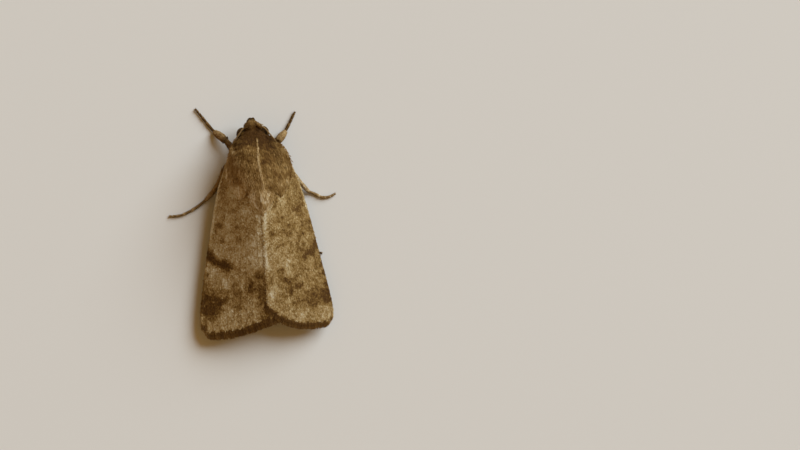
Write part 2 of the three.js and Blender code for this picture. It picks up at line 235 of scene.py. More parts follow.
def sheetSkin(top, bottom, **fields):
    # a closed leaf from two grids (rows, columns, 3), its upper face and its lower face
    rows, columns = top.shape[:2]
    under = rows * columns
    u, v = np.linspace(0.02, 0.98, rows), np.linspace(0.02, 0.48, columns)
    faces, uv = [], []

    def quad(corners, cells, lift=0):
        faces.append(tuple(corners))
        uv.extend((u[i], v[j] + lift) for i, j in cells)

    for i in range(rows - 1):
        for j in range(columns - 1):
            cells = [(i, j), (i + 1, j), (i + 1, j + 1), (i, j + 1)]
            here = [p * columns + q for p, q in cells]
            quad(here, cells)
            quad([under + n for n in reversed(here)], cells[::-1], 0.5)
    rim = [(i, 0) for i in range(rows)] + [(rows - 1, j) for j in range(1, columns)]
    rim += [(i, columns - 1) for i in range(rows - 2, -1, -1)]
    rim += [(0, j) for j in range(columns - 2, 0, -1)]
    for a, b in zip(rim, rim[1:] + rim[:1]):
        na, nb = a[0] * columns + a[1], b[0] * columns + b[1]
        quad((nb, na, under + na, under + nb), (b, a, a, b))
    fields = {"lie": unit(np.gradient(top, axis=0)), "upper": 1.0, "upperBelow": 0.0, **fields}
    both = {}
    for label in [k for k in fields if not k.endswith("Below")]:
        faceValues = fields[label], fields.get(label + "Below", fields[label])
        both[label] = np.concatenate([
            onGrid(f, top.shape).reshape((under,) + np.shape(f)[2:]) for f in faceValues
        ])
    points = np.vstack([top.reshape(-1, 3), bottom.reshape(-1, 3)])
    return {"points": points, "faces": faces, "cornerUv": uv, "fields": both}


def limbSkin(line, radius, steps, sides, shade, rect=wholeUnwrap, growth=1.0, reach=1.0):
    # a tube round a line or a row of points, its rings carried along without a twist, its ends domed
    line = line if callable(line) else smoothLine(line)
    t = (1 - np.cos(np.linspace(0, math.pi, steps))) / 2
    t = 0.35 * t + 0.65 * np.linspace(0, 1, steps)
    centres = line(t)
    tangents = unit(np.gradient(centres, axis=0))
    normal = np.cross(tangents[0], (0.13, 0.21, 1.0))
    turns = 2 * math.pi * np.arange(sides) / sides
    rings = []
    for centre, tangent, at in zip(centres, tangents, t):
        normal = unit(normal - tangent * (normal @ tangent))
        size = radius(at) * math.sqrt(max(0.06, 1 - max(0, 1 - min(at, 1 - at) / 0.06) ** 2))
        offsets = np.outer(np.cos(turns) * size, normal)
        offsets += np.outer(np.sin(turns) * size, np.cross(tangent, normal))
        rings.append(centre + offsets)
    rings = np.array(rings)
    tone = shade(onGrid(t[:, None], rings.shape)) if callable(shade) else shade
    tone = np.clip(tone + 0.06 * mottle(rings, 0.3, 9), 0, 1)
    return ringSkin(rings, rect, shade=tone, growth=growth, reach=reach)


# node trees

def setInputs(node, links):
    # a dict names the inputs, a list takes them in order; a socket is linked, a value is set
    sockets = [s for s in node.inputs if s.enabled]
    for key, value in links.items() if isinstance(links, dict) else enumerate(links):
        socket = sockets[key] if isinstance(key, int) else next(s for s in sockets if s.name == key)
        if isinstance(value, bpy.types.NodeSocket):
            node.id_data.links.new(value, socket)
        else:
            socket.default_value = value


def addNode(tree, kind, links=(), **settings):
    node = tree.nodes.new(kind)
    for key, value in settings.items():
        setattr(node, key, value)
    setInputs(node, links)
    return next((s for s in node.outputs if s.enabled), node)


def startTree(name, **sockets):  # names of the inputs, by kind
    tree = bpy.data.node_groups.new(name, "GeometryNodeTree")
    for kind, labels in sockets.items():
        for label in labels:
            tree.interface.new_socket(label, in_out="INPUT", socket_type="NodeSocket" + kind)
    tree.interface.new_socket("Result", in_out="OUTPUT", socket_type="NodeSocketGeometry")
    return tree, partial(addNode, tree), tree.nodes.new("NodeGroupInput").outputs


def endTree(tree, geometry, finish):
    painted = addNode(tree, "GeometryNodeSetMaterial", {"Geometry": geometry, "Material": finish})
    setInputs(tree.nodes.new("NodeGroupOutput"), [painted])
    return tree


def runTree(host, tree, name, values):
    # sets the modifier's inputs by identifier, turns the result into a mesh of its own
    modifier = host.modifiers.new(tree.name, "NODES")
    modifier.node_group = tree
    for item in tree.interface.items_tree:
        if item.in_out == "INPUT" and item.name in values:
            modifier[item.identifier] = values[item.name]
    host.update_tag()
    graph = bpy.context.evaluated_depsgraph_get()
    graph.update()
    mesh = bpy.data.meshes.new_from_object(
        host.evaluated_get(graph), preserve_all_data_layers=True, depsgraph=graph
    )
    host.modifiers.remove(modifier)
    mesh.name = name
    return linkObject(name, mesh)


# scales and hairs

# Drawn up to twice life size, so that each one shows. In mm: length, width, bow, droop and
# thickness, then half widths as (share of the length, share of the widest).
leafLooks = {
    "wingScale": (0.18, 0.14, 0.04, 0.12, 0.006, [(0.35, 0.8), (0.86, 1.0)]),  # lies like a shingle
    "coverScale": (0.19, 0.12, 0.05, 0.1, 0.007, [(0.35, 0.8), (0.88, 1.0)]),
    "bodyHair": (0.4, 0.07, 0.07, 0.12, 0.012, [(0.3, 0.7), (0.8, 1.0)]),
    "tuftHair": (0.5, 0.06, 0.06, 0.1, 0.012, [(0.3, 0.8), (0.8, 1.0)]),
    "headHair": (0.34, 0.06, 0.07, 0.08, 0.01, [(0.3, 0.7), (0.8, 1.0)]),
    "abdomenScale": (0.34, 0.13, 0.04, 0.06, 0.009, [(0.3, 0.8), (0.85, 1.0)]),
    "legScale": (0.16, 0.06, 0.05, 0.05, 0.007, [(0.3, 0.8), (0.85, 1.0)]),
    "footScale": (0.11, 0.045, 0.04, 0.05, 0.006, [(0.3, 0.8), (0.85, 1.0)]),
    "fringeHair": (0.66, 0.045, 0.0, 0.05, 0.008, [(0.35, 0.6), (0.93, 1.0)]),
    "fringeScale": (0.26, 0.08, 0.0, 0.04, 0.008, [(0.4, 0.8), (0.9, 1.0)]),
}
# every coat's own table may change these: degrees, shares of the leaf's size, mm
usualCoat = dict(liftSpread=4, splay=10, size=1.0, sizeSpread=0.2, clump=0.0, clumpSize=0.4, steepest=0.6)
bakePatch = 0.003  # a leaf's share of the unwrap


def makeLeaf(name, length, width, bow, droop, thick, outline):
    # one scale or hair along +Y from its root: a thin closed leaf with a raised midrib
    def height(t):
        return bow * length * 4 * t * (1 - t) - droop * length * t * t

    points, leaf = [(0, 0, height(0))], [(0, -0.5, 0)]
    for t, share in outline:
        half, y, z = share * width / 2, t * length, height(t)
        points += [(-half, y, z), (0, y, z + thick), (half, y, z)]
        leaf += [(-share / 2, t - 0.5, 0), (0, t - 0.5, 0), (share / 2, t - 0.5, 0)]
    points.append((0, length, height(1)))
    leaf.append((0, 0.5, 0))
    last = len(points) - 1
    faces = []
    for k in range(3):
        n = (k + 1) % 3
        faces.append((0, 1 + k, 1 + n))
        for r in range(len(outline) - 1):
            a, b = 1 + 3 * r + k, 1 + 3 * r + n
            faces.append((a, a + 3, b + 3, b))
        faces.append((last - 3 + k, last, last - 3 + n))
    return makeObject(name, {"points": points, "faces": faces, "fields": {"leaf": leaf}}, smooth=False)


def makeCoatTree():
    # roots spread evenly over a skin, each leaf turned to the lie of the coat
    tree, add, given = startTree(
        "coatOnSkin", Geometry=["Skin"], Object=["Leaf"], Material=["Finish"], Int=["Seed"],
        Float=["Spacing", "Thickly", "Lift", "Lift Spread", "Splay", "Size", "Size Spread", "Clump",
               "Clump Size", "Steepest"],
    )
    field = {
        label: add("GeometryNodeInputNamedAttribute", {"Name": label}, data_type=kind)
        for kind, labels in (("FLOAT", "coverage stand growth"), ("FLOAT_VECTOR", "lie leaf unwrap"))
        for label in labels.split()
    }
    # each leaf's own chances: lift, turn, roll, size and tint
    chance = [
        add("FunctionNodeRandomValue", {
            "Min": low, "Max": high, "Seed": add("ShaderNodeMath", [given["Seed"], n + 1]),
        }, data_type="FLOAT")
        for n, (low, high) in enumerate(((-1.0, 1.0), (-1.0, 1.0), (-0.5, 0.5), (-1.0, 1.0), (0.0, 1.0)))
    ]
    # nothing grows on a rim wall, where the coat would stand on end
    normal = add("GeometryNodeInputNormal")
    slant = add("ShaderNodeVectorMath", [normal, field["lie"]], operation="DOT_PRODUCT")
    slant = add("ShaderNodeMath", [slant], operation="ABSOLUTE")
    lying = add("FunctionNodeCompare", [slant, given["Steepest"]], data_type="FLOAT", operation="LESS_THAN")
    roots = add("GeometryNodeDistributePointsOnFaces", {
        "Mesh": given["Skin"], "Selection": lying, "Distance Min": given["Spacing"],
        "Density Max": given["Thickly"], "Density Factor": field["coverage"], "Seed": given["Seed"],
    }, distribute_method="POISSON")
    roots.node.use_legacy_normal = True  # square to each face, so that edges don't bristle
    # locks: a slow noise turns neighbouring hairs the same way
    wander = add("ShaderNodeTexNoise", {
        "Vector": add("GeometryNodeInputPosition"), "Scale": given["Clump Size"], "Detail": 1.0,
    }).node.outputs["Color"]
    wander = add("ShaderNodeVectorMath", [wander, (0.5, 0.5, 0.5)], operation="SUBTRACT")
    wander = add("ShaderNodeVectorMath", [wander, given["Clump"]], operation="SCALE")
    facing = add("FunctionNodeAxesToRotation", {
        "Primary Axis": roots.node.outputs["Normal"],
        "Secondary Axis": add("ShaderNodeVectorMath", [field["lie"], wander], operation="ADD"),
    }, primary_axis="Z", secondary_axis="Y")
    turned, rolled = (
        add("ShaderNodeMath", [by, given["Splay"]], operation="MULTIPLY") for by in chance[1:3]
    )
    ranges = [
        add("ShaderNodeMath", [by, given[name + " Spread"], given[name]], operation="MULTIPLY_ADD")
        for by, name in ((chance[0], "Lift"), (chance[3], "Size"))
    ]
    lifted, grown = (
        add("ShaderNodeMath", [value, field[name]], operation="MULTIPLY")
        for value, name in zip(ranges, ("stand", "growth"))
    )
    tilt = add("ShaderNodeCombineXYZ", [lifted, rolled, turned])
    facing = add("FunctionNodeRotateRotation", {
        "Rotation": facing, "Rotate By": add("FunctionNodeEulerToRotation", [tilt]),
    }, rotation_space="LOCAL")
    points = add("GeometryNodeStoreNamedAttribute", {
        "Geometry": roots, "Name": "tint", "Value": chance[4],
    }, data_type="FLOAT", domain="POINT")
    coat = add("GeometryNodeInstanceOnPoints", {
        "Points": points, "Rotation": facing, "Scale": grown,
        "Instance": add("GeometryNodeObjectInfo", {"Object": given["Leaf"]}).node.outputs["Geometry"],
    })
    # each leaf is a small patch at its root's place on the skin's unwrap
    patch = add(
        "ShaderNodeVectorMath", [field["leaf"], (bakePatch, bakePatch, 0.0), field["unwrap"]],
        operation="MULTIPLY_ADD",
    )
    coat = add("GeometryNodeStoreNamedAttribute", {
        "Geometry": add("GeometryNodeRealizeInstances", [coat]), "Name": "OFBake", "Value": patch,
    }, data_type="FLOAT2", domain="CORNER")
    return endTree(tree, coat, given["Finish"])


leaves = {name: makeLeaf(name, *look) for name, look in leafLooks.items()}
coatTree = makeCoatTree()


def growCoat(skin, name, look, coverage, slot):
    look = {**usualCoat, **look}
    setField(skin.data, "coverage", coverage)
    coat = runTree(skin, coatTree, name, {
        "Leaf": leaves[look["leaf"]], "Finish": skin.data.materials[0], "Seed": look["seed"],
        "Spacing": look["spacing"] * mm, "Thickly": look["perMm2"] / mm**2,
        "Lift": math.radians(look["lift"]), "Lift Spread": math.radians(look["liftSpread"]),
        "Splay": math.radians(look["splay"]), "Size": look["size"], "Size Spread": look["sizeSpread"],
        "Clump": look["clump"], "Clump Size": 1 / (look["clumpSize"] * mm), "Steepest": look["steepest"],
    })
    stayAboveFloor(coat)
    for label in ("lie", "coverage", "unwrap", "stand", "growth"):
        layer = coat.data.attributes.get(label)
        if layer:
            coat.data.attributes.remove(layer)
    print(f"{name}: {len(coat.data.polygons)} faces")
    return keepPiece(coat, slot)


# finishes

def srgb(code):
    values = [int(code[i:i + 2], 16) / 255 for i in (1, 3, 5)]
    return [v / 12.92 if v <= 0.04045 else ((v + 0.055) / 1.055) ** 2.4 for v in values] + [1.0]


def startMaterial(name):
    material = bpy.data.materials.new(name)
    material.use_nodes = True
    tree = material.node_tree
    return material, partial(addNode, tree), tree.nodes["Principled BSDF"]


def setStops(scale, stops):
    while len(scale.elements) < len(stops):
        scale.elements.new(1.0)
    for element, (at, code) in zip(scale.elements, stops.items()):
        element.position = at
        element.color = srgb(code)


def makeScaly(name, stops, contrast, blotches, blotchSize, tipLift, roughness, lengthwise=()):
    # a mosaic of scales: each one's own tint over the markings, which skin and coat share
    material, add, shader = startMaterial(name)
    tint, shade, leaf = (
        add("ShaderNodeAttribute", attribute_name=label).node.outputs for label in ("tint", "shade", "leaf")
    )
    place = add("ShaderNodeTexCoord").node.outputs["Object"]
    blotch = add("ShaderNodeTexNoise", {
        "Vector": place, "Scale": 1 / (blotchSize * mm), "Detail": 3.0, "Roughness": 0.6,
    })
    along = add("ShaderNodeSeparateXYZ", [leaf["Vector"]]).node.outputs["Y"]
    value = shade["Fac"]
    for part, share in ((tint["Fac"], contrast), (blotch, blotches)):
        part = add("ShaderNodeMath", [part, 0.5], operation="SUBTRACT")
        value = add("ShaderNodeMath", [part, share, value], operation="MULTIPLY_ADD")
    value = add("ShaderNodeMath", [along, tipLift, value], operation="MULTIPLY_ADD")
    if lengthwise:  # a change of tone from root to tip, about 0.5
        drawn = add("ShaderNodeFloatCurve", {"Value": add("ShaderNodeMath", [along, 0.5])})
        line = drawn.node.mapping.curves[0]
        line.points[0].location, line.points[1].location = lengthwise[0], lengthwise[-1]
        for at, level in lengthwise[1:-1]:
            line.points.new(at, level)
        drawn.node.mapping.update()
        value = add("ShaderNodeMath", [value, drawn])
        value = add("ShaderNodeMath", [value, 0.5], operation="SUBTRACT")
    colours = add("ShaderNodeValToRGB", [value])
    setStops(colours.node.color_ramp, stops)
    grain = add("ShaderNodeTexNoise", {"Vector": place, "Scale": 1 / (0.03 * mm), "Detail": 1.0})
    setInputs(shader, {
        "Base Color": colours,
        "Roughness": add("ShaderNodeMath", [blotch, 0.2, roughness - 0.1], operation="MULTIPLY_ADD"),
        "Normal": add("ShaderNodeBump", {"Strength": 0.35, "Distance": 0.004 * mm, "Height": grain}),
        "Specular IOR Level": 0.1, "Sheen Weight": 0.03, "Sheen Roughness": 0.5,
        "Sheen Tint": srgb("#b08c58"),
    })
    return material


def makePlain(name, stops, grainSize, roughness, specular, bump=0.3, specularTint="#ffffff"):
    # bare horn-like cuticle with a faint grain
    material, add, shader = startMaterial(name)
    cloud = add("ShaderNodeTexNoise", {
        "Vector": add("ShaderNodeTexCoord").node.outputs["Object"], "Scale": 1 / (grainSize * mm),
        "Detail": 4.0, "Roughness": 0.55,
    })
    colours = add("ShaderNodeValToRGB", [cloud])
    setStops(colours.node.color_ramp, stops)
    setInputs(shader, {
        "Base Color": colours,
        "Roughness": add("ShaderNodeMapRange", {
            "Value": cloud, "To Min": roughness - 0.08, "To Max": roughness + 0.08,
        }),
        "Normal": add("ShaderNodeBump", {"Strength": bump, "Distance": 0.004 * mm, "Height": cloud}),
        "Specular IOR Level": specular, "Specular Tint": srgb(specularTint),
    })
    return material


# Flat wing scales of dull chitin: a matt salt-and-pepper of dark brown, tan and buff.
wingMosaic = makeScaly(
    "overlappingWingScales",
    {0: "#442b0c", 0.16: "#553913", 0.34: "#6e5226", 0.5: "#85683c", 0.66: "#987f53", 0.82: "#a8936c",
     1: "#baac8e"},
    contrast=0.4, blotches=0.26, blotchSize=0.2, tipLift=0.05, roughness=0.78,
)
# Hair-like scales of the body: warmer and darker, woolly, with paler tips.
hairWool = makeScaly(
    "hairScalesOfTheBody",
    {0: "#40270a", 0.2: "#523612", 0.4: "#6d4f24", 0.6: "#8a6c3f", 0.8: "#a68b61", 1: "#c4b290"},
    contrast=0.28, blotches=0.26, blotchSize=0.22, tipLift=0.06, roughness=0.82,
)
# Long cilia of the wing fringe: a mid-brown line near the root, then dark, with pale tips.
fringeCilia = makeScaly(
    "fringeCilia", {0: "#442a0a", 0.3: "#5c3f16", 0.6: "#846538", 1: "#b09a70"},
    contrast=0.3, blotches=0.3, blotchSize=0.4, tipLift=0.0, roughness=0.8,
    lengthwise=[(0.0, 0.6), (0.12, 0.64), (0.28, 0.4), (0.6, 0.42), (0.85, 0.54), (1.0, 0.6)],
)
# Flat scales and skin of the legs, brown with dark bands.
legScales = makeScaly(
    "flatScalesOfTheLegs", {0: "#33200a", 0.3: "#573c17", 0.6: "#82643a", 0.85: "#a3875a", 1: "#c0aa84"},
    contrast=0.3, blotches=0.25, blotchSize=0.25, tipLift=0.08, roughness=0.7,
)
# Thin pale scales of the hindwing, smoky towards its edge.
hindMosaic = makeScaly(
    "thinHindwingScales", {0: "#3e2c17", 0.4: "#7a6343", 0.7: "#b09c78", 1: "#d3c6aa"},
    contrast=0.2, blotches=0.15, blotchSize=0.6, tipLift=0.05, roughness=0.65,
)
# Cornea of a compound eye: half-gloss lenses of a very dark brown.
corneaLens = makePlain(
    "compoundEyeCornea", {0.36: "#1e1307", 0.5: "#3c280e", 0.66: "#5a401a"}, grainSize=0.4,
    roughness=0.36, specular=0.12, bump=0.1, specularTint="#ffd59a",
)
# Tanned cuticle of claws, spurs and tongue: amber-brown, half gloss.
tannedHorn = makePlain(
    "tannedCuticle", {0.3: "#33200c", 0.5: "#5f4320", 0.7: "#8a6b3c"}, grainSize=0.12,
    roughness=0.42, specular=0.45,
)
# Feeler shafts under a bloom of fine pale scales: dull buff-brown.
dustedShaft = makePlain(
    "scaleDustedShaft", {0.3: "#553a17", 0.5: "#7d6036", 0.7: "#a08658"}, grainSize=0.1,
    roughness=0.66, specular=0.25,
)


# the roof that the closed forewings make

roofLine = {  # (station, value) pairs
    "ridge": [
        (3.0, 4.2), (4.5, 4.85), (6.5, 5.2), (8.5, 5.15), (11, 4.8), (14, 4.1), (17, 3.35), (20.5, 2.6),
    ],
    "edge": [
        (3.0, 3.0), (4.5, 2.45), (6.5, 1.95), (8.5, 1.7), (11, 1.5), (14, 1.35), (17, 1.25), (20.5, 1.2),
    ],
    "halfWidth": [
        (3.0, 2.7), (4.4, 3.1), (6.6, 3.95), (8.4, 4.35), (10, 4.75), (13.7, 5.5), (17, 6.08), (20.5, 6.3),
    ],
    "roundness": [(3.0, 1.9), (8.5, 1.55), (14, 1.35), (20.5, 1.25)],
}
ridgeHeight, edgeHeight, roofHalfWidth, roofRoundness = map(profile, roofLine.values())


def roof(x, station):
    share = np.abs(x) / roofHalfWidth(station)
    drop = (ridgeHeight(station) - edgeHeight(station)) * share ** roofRoundness(station)
    return ridgeHeight(station) - drop


def slopeFactor(x, station, step=0.05):
    dx = (roof(x + step, station) - roof(x - step, station)) / (2 * step)
    dy = (roof(x, station + step) - roof(x, station - step)) / (2 * step)
    return np.sqrt(1 + dx**2 + dy**2)


def wingPatch(look):  # (along, across) to a place in plan
    inner, costa, termen = (smoothLine(look[edge]) for edge in ("inner", "costa", "termen"))

    def place(along, across):
        a, c = np.asarray(along)[..., None], np.asarray(across)[..., None]
        sides = inner(along) * (1 - c) + costa(along) * c
        return sides + (termen(across) - (termen(0.0) * (1 - c) + termen(1.0) * c)) * a

    return place


forewing = {
    "inner": [
        (1.85, 5.0), (1.7, 6.5), (1.15, 7.7), (0.4, 8.5), (0.06, 9.4), (0.06, 11), (0.06, 16.5),
        (0.06, 18.4), (0.1, 19.62),
    ],
    "costa": [
        (2.3, 3.45), (2.95, 4.1), (3.47, 5.4), (3.98, 6.8), (4.73, 10), (5.48, 13.7), (6.08, 17),
        (6.28, 18.6), (6.2, 19.45), (5.8, 20.05),
    ],
    "termen": [
        (0.1, 19.62), (0.9, 19.85), (1.8, 20.15), (2.8, 20.36), (4.0, 20.45), (5.2, 20.38), (5.8, 20.05),
    ],
    "spread": {"left": -0.22, "right": 0.22},  # how far a costa stands out at the shoulder
    "spreadFade": {"left": (6, 19), "right": (4, 15)},
    "coat": 0.1,  # depth of the scales over the membrane
    "thick": 0.05,
    "veins": 0.022,  # height of the raised veins
    # where a vein ends across the wing, and where along it the vein begins
    "veinPlaces": [(0.9, 0.05), (0.8, 0.3), (0.7, 0.5), (0.6, 0.5), (0.5, 0.5), (0.4, 0.15),
                   (0.31, 0.5), (0.22, 0.5), (0.12, 0.1)],
    "costalVein": 0.04,
    "costalRoll": 0.13,  # how much thicker the membrane is at its front edge
    "fringeStart": 0.956,  # share of the wing's length where the membrane ends
    "cornerCut": {"left": 0.012, "right": 0.1},  # how much sooner it ends at its inner corner
    "overlap": {"left": 0.3, "right": 0.13},  # how far each passes the middle plane
    "tailOverlap": {"left": 0.62, "right": 0.0},  # the same at the rear corner
    "step": {"left": -0.05, "right": 0.015},  # one wing's margin lies on the other's
    "rows": 170,
    "columns": 72,
    "coats": {
        "ground": dict(leaf="wingScale", spacing=0.063, perMm2=900, lift=7, splay=16, seed=3),
        "cover": dict(leaf="coverScale", spacing=0.1, perMm2=320, lift=10, liftSpread=5, splay=36, seed=19),
        "under": dict(leaf="wingScale", spacing=0.11, perMm2=260, lift=6, splay=12, seed=29),
    },
}
forewingPlan = wingPatch(forewing)


def spreadOut(side, x, station):
    fade = fall(station, *forewing["spreadFade"][side])
    return x + forewing["spread"][side] * fade * np.minimum(1, x / roofHalfWidth(station)) ** 2


def forewingGrid(side, along, across):
    # places on the upper face, as (rows, columns, 3), and the plan distance off the midline
    x, station = np.moveaxis(forewingPlan(along, across), -1, 0)
    x = spreadOut(side, x, station)
    nearMiddle = ramp(station, 8.3, 9.7) * fall(x, 0.0, 1.4)
    rear = ramp(station, 17.4, 19.2)
    passed = forewing["overlap"][side] * (1 - rear) + forewing["tailOverlap"][side] * rear
    x = x - nearMiddle * (passed + 0.06)
    height = roof(x, station) - forewing["coat"] * slopeFactor(x, station)
    height += forewing["step"][side] * nearMiddle
    height += forewing["costalVein"] * hump(across, 0.98, 0.014)
    for at, start in forewing["veinPlaces"]:
        course = at + 0.1 * fall(along, 0.2, 0.8) * (0.55 - at)
        strength = ramp(along, start, start + 0.12) * ramp(along, 0.1, 0.25)
        height += forewing["veins"] * hump(across, course, 0.012) * strength
    return np.stack([sideSign[side] * x, station, height], -1), x


def membraneEnd(side, across):  # share of the wing's length where the fringe begins
    return forewing["fringeStart"] - forewing["cornerCut"][side] * np.exp(-across / 0.15)


# Markings: (name, off the midline, station, half length across, half length along, turn, change)
# A change below 0 is darker. The stations run with the closed wing, in mm.
spots = {
    "left": [
        ("costal streak", 4.92, 12.55, 0.38, 0.9, 28, -0.8),
        ("reniform smear", 3.75, 13.5, 0.95, 0.42, -30, -0.68),
        ("costal crescent", 5.3, 14.33, 0.26, 0.24, 20, -0.4),
        ("costal patch", 5.55, 15.5, 0.55, 0.9, 0, -0.3),
        ("subapical patch", 5.4, 17.45, 0.85, 1.05, 14, -0.82),
        ("subapical tail", 4.25, 16.9, 0.8, 0.4, 6, -0.52),
        ("subterminal blotch", 3.97, 16.1, 0.36, 0.34, 0, -0.2),
        ("subterminal blotch", 2.55, 16.5, 0.4, 0.34, 0, -0.26),
        ("subterminal shade", 1.45, 15.75, 0.7, 0.55, 20, -0.36),
        ("outer shade", 3.1, 15.7, 2.7, 1.05, 0, -0.15),
        ("subterminal dots", 2.72, 17.55, 0.36, 0.34, 0, -0.28),
        ("inner shade", 0.7, 14.55, 0.55, 0.42, 0, -0.32),
        # the inner margin shade is partly a dark marking, partly painted shadow cast by the right wing's
        # overlapping margin
        ("inner margin shade", 0.45, 16.2, 0.5, 1.6, 0, -0.36),
        ("corner shade", -0.1, 19.0, 0.8, 1.1, 0, -0.42),
        ("apex shade", 6.05, 19.3, 0.3, 0.42, 0, -0.34),
        ("pale field", 3.65, 15.45, 0.42, 0.5, 0, 0.28),
        ("pale dot", 2.35, 15.5, 0.22, 0.4, 0, 0.22),
        ("pale dot", 3.25, 16.5, 0.3, 0.3, 0, 0.2),
        ("pale field", 1.4, 12.85, 0.8, 1.1, 0, 0.12),
        ("pale root spot", 2.36, 6.78, 0.44, 0.4, 0, 0.26),
        ("antemedial bar", 2.13, 8.2, 0.6, 0.26, 36, -0.3),
        ("antemedial dot", 3.9, 9.85, 0.3, 0.3, 0, -0.32),
        ("orbicular dot", 2.36, 10.07, 0.22, 0.22, 0, -0.4),
        ("median dot", 3.68, 11.36, 0.26, 0.28, -20, -0.36),
        ("inner streak", 0.31, 9.1, 0.14, 0.9, 12, 0.3),
        ("inner light", 0.65, 8.5, 0.22, 0.9, 35, 0.34),
    ],
    "right": [
        ("costal streak", 5.08, 12.2, 0.2, 0.75, 22, -0.6),
        ("crescent head", 3.84, 13.45, 0.18, 0.15, 0, -0.45),
        ("reniform shade", 4.75, 13.0, 0.5, 0.4, 0, -0.24),
        ("antemedial dot", 2.41, 10.21, 0.3, 0.22, 0, -0.22),
        ("antemedial dot", 1.95, 9.52, 0.2, 0.2, 0, -0.28),
        ("antemedial bar", 3.48, 8.99, 0.42, 0.22, 0, -0.3),
        ("inner dot", 0.6, 11.01, 0.3, 0.25, 0, -0.38),
        ("median bar", 1.55, 12.14, 0.5, 0.2, -12, -0.36),
        ("orbicular dot", 3.9, 11.14, 0.18, 0.18, 0, -0.42),
        ("costal dot", 5.6, 14.2, 0.2, 0.25, 0, -0.42),
        ("costal dot", 5.71, 15.16, 0.2, 0.25, 0, -0.42),
        ("costal dot", 5.81, 16.13, 0.2, 0.25, 0, -0.42),
        ("costal dot", 6.02, 16.95, 0.2, 0.28, 0, -0.46),
        ("costal dot", 6.15, 17.75, 0.18, 0.25, 0, -0.42),
        ("postmedial dash", 1.25, 14.41, 0.48, 0.22, 0, -0.32),
        ("postmedial dash", 1.92, 15.43, 0.55, 0.3, 20, -0.32),
        ("postmedial dot", 0.3, 15.44, 0.24, 0.22, 0, -0.3),
        ("postmedial dash", 2.14, 16.49, 0.24, 0.42, 0, -0.28),
        ("postmedial dash", 2.97, 16.01, 0.45, 0.35, 0, -0.2),
        ("subapical patch", 5.65, 17.3, 0.5, 0.65, 0, -0.46),
        ("subterminal shade", 4.2, 16.75, 0.9, 0.5, 0, -0.1),
        ("outer light", 2.6, 17.1, 1.3, 0.7, 0, 0.09),
        ("costal shade", 4.1, 11.5, 1.4, 3.2, 0, -0.14),
        ("costal shade", 5.2, 14.2, 0.5, 1.0, 0, -0.14),
        ("inner light", 0.5, 14.5, 0.5, 2.5, 0, 0.12),
        ("pale field", 0.68, 16.4, 0.42, 0.6, 0, 0.24),
        ("pale field", 1.93, 13.8, 0.85, 0.8, 0, 0.12),
        # the inner streaks on this wing are partly its own pale margin, partly a painted highlight where the
        # raised margin catches the light
        ("inner streak", 0.0, 13.4, 0.24, 2.0, 0, 0.42),
        ("inner streak", 0.05, 9.2, 0.2, 1.6, 0, 0.4),
        ("inner light", 0.6, 8.6, 0.16, 0.9, 35, 0.26),
        ("basal shade", 3.9, 8.17, 0.5, 0.6, 0, -0.14),
    ],
}
# Curved marks: (name, off the midline, station, radius, half width, from, to, change)
crescents = {
    "left": [("subapical arc", 5.25, 17.45, 0.6, 0.075, 195, 345, 0.55)],
    "right": [
        ("reniform crescent", 4.27, 13.66, 0.56, 0.12, 200, 335, -0.95),
        ("orbicular ring", 3.85, 12.22, 0.34, 0.11, 0, 360, 0.26),
    ],
}
wingTone = {
    # the left wing's ground is paler than the right's: painted fill light on the wing that slopes away from
    # the lamp
    "ground": {"left": 0.685, "right": 0.455},
    "mottles": [(1.3, 11, 0.12), (0.55, 12, 0.2), (0.26, 13, 0.2)],  # size, seed, strength
    "depth": {"left": 1.05, "right": 0.88},  # strength of the dark marks
    "ragged": 0.16,  # how far the outlines of the marks wander
    "markEdge": 1.4,  # above 1 for firmer outlines
    "underside": 0.62,
    "terminalBand": {"left": -0.07, "right": 0.09},
    "terminalEnds": (0.078, 0.102),  # shares of the wing's length in from its outer edge
    "subterminalBand": -0.12,
    "subterminalEnds": (0.1, 0.21),
    "basalShade": -0.08,
    "basalEnds": (6, 11),  # stations
    "innerLight": 0.08,
    "innerLightEnds": (8.0, 14.0),
    "costalRim": 0.34,
    "rimEnds": {"left": (4.4, 11.2), "right": (3.0, 9.0)},
    "edgeDots": 8.5,  # dark dots along the membrane's outer edge
    "edgeDot": -0.4,
}


def edgeDots(across):
    return (0.5 + 0.5 * np.cos(2 * math.pi * across * wingTone["edgeDots"])) ** 1.5


